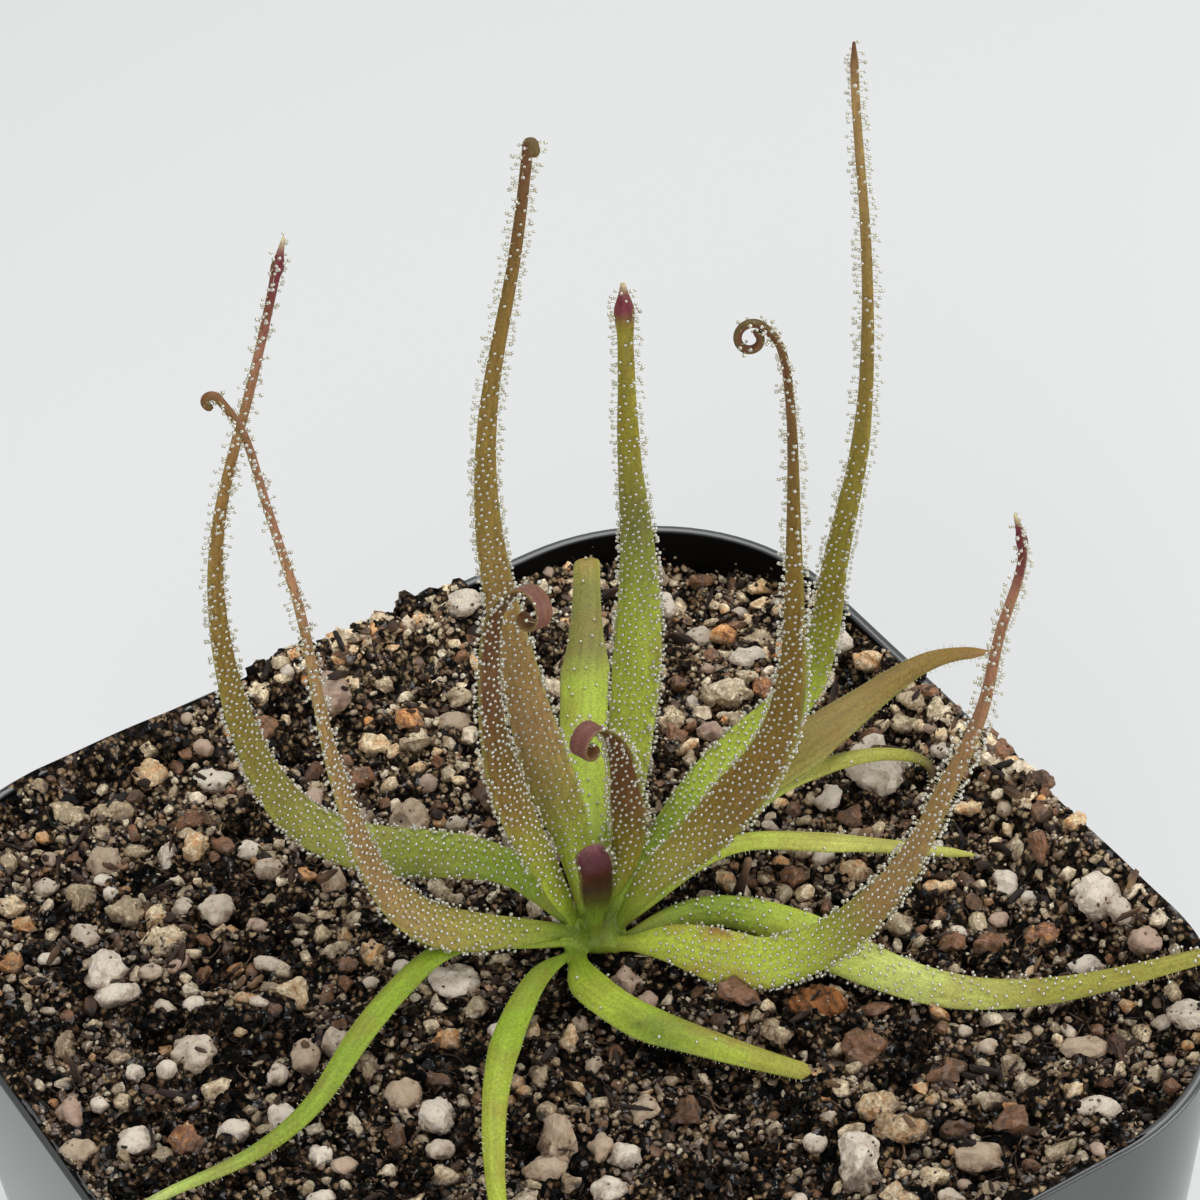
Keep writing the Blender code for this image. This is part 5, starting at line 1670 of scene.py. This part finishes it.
def damp_peat():
    """Sphagnum peat: near-black wet crumbs that glint, with fine sand and brown fibre worked in."""
    material, tree, shader = start_material("damp_peat", {
        "IOR": 1.4, "Specular IOR Level": 0.12, "Coat Roughness": 0.1,
    })
    place = add(tree, "ShaderNodeTexCoord").outputs["Object"]
    sway = add(tree, "ShaderNodeTexNoise", {"Vector": place, "Scale": 1 / (0.5 * MM), "Detail": 2.0})
    sway = add(
        tree, "ShaderNodeVectorMath", {0: sway.outputs["Color"], "Scale": 0.5 * MM}, operation="SCALE",
    )
    bent = add(tree, "ShaderNodeVectorMath", {0: place, 1: sway}, operation="ADD")
    # crumbs and sand grains about 0.5 mm across, each of its own colour, with painted shade in the crevices
    # where they meet
    grains = add(tree, "ShaderNodeTexVoronoi", {"Vector": bent, "Scale": 1 / (0.5 * MM)})
    pick = add(tree, "ShaderNodeSeparateColor", {"Color": grains.outputs["Color"]})
    cloud = add(tree, "ShaderNodeTexNoise", {
        "Vector": place, "Scale": 1 / (3.0 * MM), "Detail": 4.0, "Roughness": 0.65,
    })
    drift = add(tree, "ShaderNodeMapRange", {
        "Value": cloud, "From Min": 0.35, "From Max": 0.65, "To Min": -0.25, "To Max": 0.12,
    })
    sort = add(tree, "ShaderNodeMath", {0: pick.outputs["Red"], 1: drift}, operation="ADD")
    sort = add(tree, "ShaderNodeMath", {0: back_right_share(tree, place), 1: 0.3, 2: sort}, operation="MULTIPLY_ADD")
    colour = add(tree, "ShaderNodeValToRGB", {"Fac": sort}, stops=[
        (0.15, "#060403"), (0.36, "#1a110b"), (0.52, "#352519"), (0.68, "#55402e"), (0.84, "#80654a"),
        (0.95, "#b09674"),
    ])
    # painted shade in the crevices between the grains
    crevice_shade = add(tree, "ShaderNodeMapRange", {
        "Value": grains.outputs["Distance"], "From Min": 0.25, "From Max": 0.6, "To Min": 1.0,
        "To Max": 0.05,
    })
    shaded = add(tree, "ShaderNodeVectorMath", {0: colour, "Scale": crevice_shade}, operation="SCALE")
    fine = add(tree, "ShaderNodeTexNoise", {"Vector": place, "Scale": 1 / (0.2 * MM), "Detail": 2.0})
    wet = add(tree, "ShaderNodeMapRange", {
        "Value": pick.outputs["Blue"], "From Min": 0.8, "From Max": 0.86, "To Max": 0.7,
    })
    height = add(
        tree, "ShaderNodeMath", {0: grains.outputs["Distance"], 1: -1.0, 2: fine}, operation="MULTIPLY_ADD",
    )
    matt = (pick.outputs["Green"], 0.25, 0.9)
    wire_surface(tree, shader, shaded, matt, (height, 1.0, 0.22), {"Coat Weight": wet})
    return material


def pine_bark():
    """Pine bark: layered cork, orange-brown with thin dark lines between its layers."""
    material, tree, shader = start_material("pine_bark", {"IOR": 1.45})
    place = add(tree, "ShaderNodeTexCoord").outputs["Object"]
    tint = add(tree, "ShaderNodeAttribute", attribute_name="tint").outputs["Fac"]
    base = add(
        tree, "ShaderNodeValToRGB", {"Fac": tint},
        stops=[(0.2, "#a0632c"), (0.6, "#7a4a28"), (1.0, "#4a3a32")],
    )
    along = add(tree, "ShaderNodeMapping", {
        "Vector": place, "Rotation": (0.0, 0.0, -CAMERA_TURN), "Scale": (2.2, 0.35, 0.35),
    })
    layers = add(tree, "ShaderNodeTexNoise", {
        "Vector": along, "Scale": 1 / (1.1 * MM), "Detail": 4.0, "Roughness": 0.7,
    })
    lines = add(tree, "ShaderNodeMapRange", {
        "Value": layers, "From Min": 0.38, "From Max": 0.6, "To Min": 0.25, "To Max": 1.2,
    })
    colour = add(tree, "ShaderNodeVectorMath", {0: base, "Scale": lines}, operation="SCALE")
    wire_surface(tree, shader, colour, (layers, 0.5, 0.8), (layers, 0.8, 0.1))
    return material


def root_fibre():
    """Moss and root fibre: dry dull threads from straw to dark brown."""
    material, tree, shader = start_material("root_fibre", {"IOR": 1.45})
    place = add(tree, "ShaderNodeTexCoord").outputs["Object"]
    cloud = add(tree, "ShaderNodeTexNoise", {"Vector": place, "Scale": 1 / (5.0 * MM), "Detail": 2.0})
    colour = add(
        tree, "ShaderNodeValToRGB", {"Fac": cloud},
        stops=[(0.35, "#180f0a"), (0.5, "#33231a"), (0.6, "#5a4330"), (0.7, "#86694a")],
    )
    wire_surface(tree, shader, colour, (cloud, 0.6, 0.8))
    return material


def strand_tree(fibre):
    """Loose fibres: threads laid along lines, rising and falling with the bed under them."""
    tree, given, result = new_tree("loose_fibres", {"Ground": "Object", "Radius": "Float", "Clear": "Float"})
    lines = add(tree, "GeometryNodeMeshToCurve", {"Mesh": settle(tree, given, given["Clear"])})
    ring = add(tree, "GeometryNodeCurvePrimitiveCircle", {"Resolution": 4, "Radius": given["Radius"]})
    tube = add(tree, "GeometryNodeCurveToMesh", {"Curve": lines, "Profile Curve": ring, "Fill Caps": True})
    whole = add(tree, "GeometryNodeRealizeInstances", {"Geometry": tube})
    painted = add(tree, "GeometryNodeSetMaterial", {"Geometry": whole, "Material": fibre})
    connect(tree, result, {"Geometry": painted})
    return tree


def build_fibres(bed, fibre):
    """Short curved fibres of moss and root, scattered on the bed."""
    draw = random.Random(SCATTER_SEED + 1)
    half = POT_SIDE / 2 - soil_inset()
    points, edges = [], []
    for _ in range(FIBRE_COUNT):
        x, y = rounded_cell(draw.uniform(-1, 1), draw.uniform(-1, 1), half - 2 * MM, POT_CORNER)
        heading, bend = draw.uniform(0, 2 * math.pi), draw.uniform(-0.35, 0.35)
        for step in range(draw.randint(4, 10)):
            if step:
                edges.append((len(points) - 1, len(points)))
            points.append((x, y, ABOVE_ALL))
            x, y = x + FIBRE_STEP * math.cos(heading), y + FIBRE_STEP * math.sin(heading)
            heading += bend + draw.uniform(-0.3, 0.3)
            if max(abs(x), abs(y)) > half - 1.5 * MM or math.hypot(x - CROWN.x, y - CROWN.y) < 3 * MM:
                break
    lines = add_mesh("fibre_lines", points, [], edges=edges)
    return grow("peat_fibres", lines, strand_tree(fibre), {
        "Ground": bed, "Radius": 0.07 * MM, "Clear": 0.12 * MM,
    })


def build_stub(fibre):
    """The dry stub of a dead leaf, standing in the soil behind the long low leaf."""
    foot = on_the_bed(*STUB_FOOT)
    lean = camera_axes()[0] * STUB_LEAN
    rings = []
    for step in range(9):
        share = step / 8
        radius = STUB_WIDTH / 2 * (1 - 0.4 * share) * (1 + 0.3 * noise.noise(Vector((0.4, share * 3, 0))))
        height = (STUB_HEIGHT + STUB_ROOT) * share - STUB_ROOT
        middle = foot + lean * share + Vector((0, 0.2 * MM * math.sin(share * 5), height))
        rings.append(circle(middle, radius, 10))
    return add_mesh("dead_stub", *skin_rings(rings), fibre)


def build_soil(pot):
    """The bed of peat and everything that lies on it."""
    peat, fibre = damp_peat(), root_fibre()
    bed = build_bed(peat)
    finishes = {
        "perlite": expanded_perlite(), "gravel": weathered_gravel(), "bark": pine_bark(),
        "quartz": quartz_sand(), "peat": peat, "fibre": fibre,
    }
    tree = grain_tree()
    ground = merged_copy("bed_and_rim", [bed, pot])
    laid = []
    for name, grains in scatter_grains().items():
        mix = MIXES[name]
        if mix.on_stones and laid:
            bpy.data.objects.remove(ground)
            ground = merged_copy("bed_and_stones", [bed, pot, *laid])
            laid = []
        places = [(grain.x, grain.y, ABOVE_ALL) for grain in grains]
        values = {key: [getattr(grain, key) for grain in grains] for key in ("size", "turn", "tint")}
        seeds = add_mesh(name + "_places", places, [], attributes=values)
        piece = grow(name, seeds, tree, {
            "Ground": ground, "Facets": mix.facets, "Smooth": mix.smooth, "Standing": mix.standing,
            "Chip": mix.chip, "Lump": mix.lump * MM, "Lump Rise": mix.lump_rise, "Pit": mix.pit * MM,
            "Pit Depth": mix.pit_depth, "Material": finishes[mix.finish],
        })
        if not mix.on_stones:
            laid.append(piece)
        place_piece(piece, "potting_mix")
    bpy.data.objects.remove(ground)
    place_piece(build_fibres(bed, fibre), "potting_mix")
    place_piece(build_stub(fibre), "leaf_brown")
    place_piece(bed, "potting_mix", "soil")


# The whole plant


# The coats of glands: where each one grows, how closely, and the sizes of its stalks and droplets
COATS = {
    "face_dew": {
        "Where": "dots", "Spacing": 0.43 * MM, "Shortest Stalk": 0.03 * MM, "Longest Stalk": 0.12 * MM,
        "Stalk Radius": 0.035 * MM, "Smallest Droplet": 0.115 * MM, "Largest Droplet": 0.15 * MM,
        "Lean": 0.12, "Seed": 21,
    },
    "margin_dew": {
        "Where": "edges", "Spacing": 0.22 * MM, "Shortest Stalk": 0.12 * MM, "Longest Stalk": 0.55 * MM,
        "Stalk Radius": 0.035 * MM, "Smallest Droplet": 0.12 * MM, "Largest Droplet": 0.17 * MM,
        "Lean": 0.35, "Seed": 22,
    },
    "margin_hairs": {
        "Where": "hairs", "Spacing": 0.3 * MM, "Shortest Stalk": 0.12 * MM, "Longest Stalk": 0.32 * MM,
        "Stalk Radius": 0.03 * MM, "Smallest Droplet": 0.02 * MM, "Largest Droplet": 0.05 * MM,
        "Lean": 0.4, "Seed": 24,
    },
    "crown_hairs": {
        "Where": "hair", "Spacing": 0.4 * MM, "Shortest Stalk": 0.5 * MM, "Longest Stalk": 0.9 * MM,
        "Stalk Radius": 0.025 * MM, "Smallest Droplet": 0.02 * MM, "Largest Droplet": 0.04 * MM,
        "Lean": 0.6, "Seed": 23,
    },
}

# The leaves whose finish isn't plain leaf green
LEAF_SLOTS = {
    "leaf_left_front": "leaf_brown", "leaf_left_back": "leaf_brown", "leaf_left_curled": "leaf_brown",
    "leaf_right": "leaf_brown", "leaf_tan": "leaf_brown", "leaf_back_low": "leaf_yellow_green",
    "leaf_yellow": "leaf_yellow_green", "leaf_front": "leaf_yellow_green",
    "leaf_young_curled": "leaf_purple", "leaf_centre_bud": "leaf_purple",
}


def build_plant():
    """The leaves and the crown, and the glands that grow on them."""
    tissue = fresh_leaf_tissue()
    leaves = build_leaves(tissue)
    crown = build_crown(LEAVES.values(), tissue)
    glands = dew_tree(mucilage(), gland_stalk())
    for coat, settings in COATS.items():
        carriers = [crown] if coat == "crown_hairs" else list(leaves.values())
        piece = grow(coat, merged_copy(coat + "_carrier", carriers), glands, settings)
        place_piece(piece, "leaf_green")
    for name, leaf in leaves.items():
        place_piece(leaf, LEAF_SLOTS.get(name, "leaf_green"), name)
    place_piece(crown, "leaf_bases", "crown")


build_camera()
build_studio()
build_soil(build_pot())
build_plant()
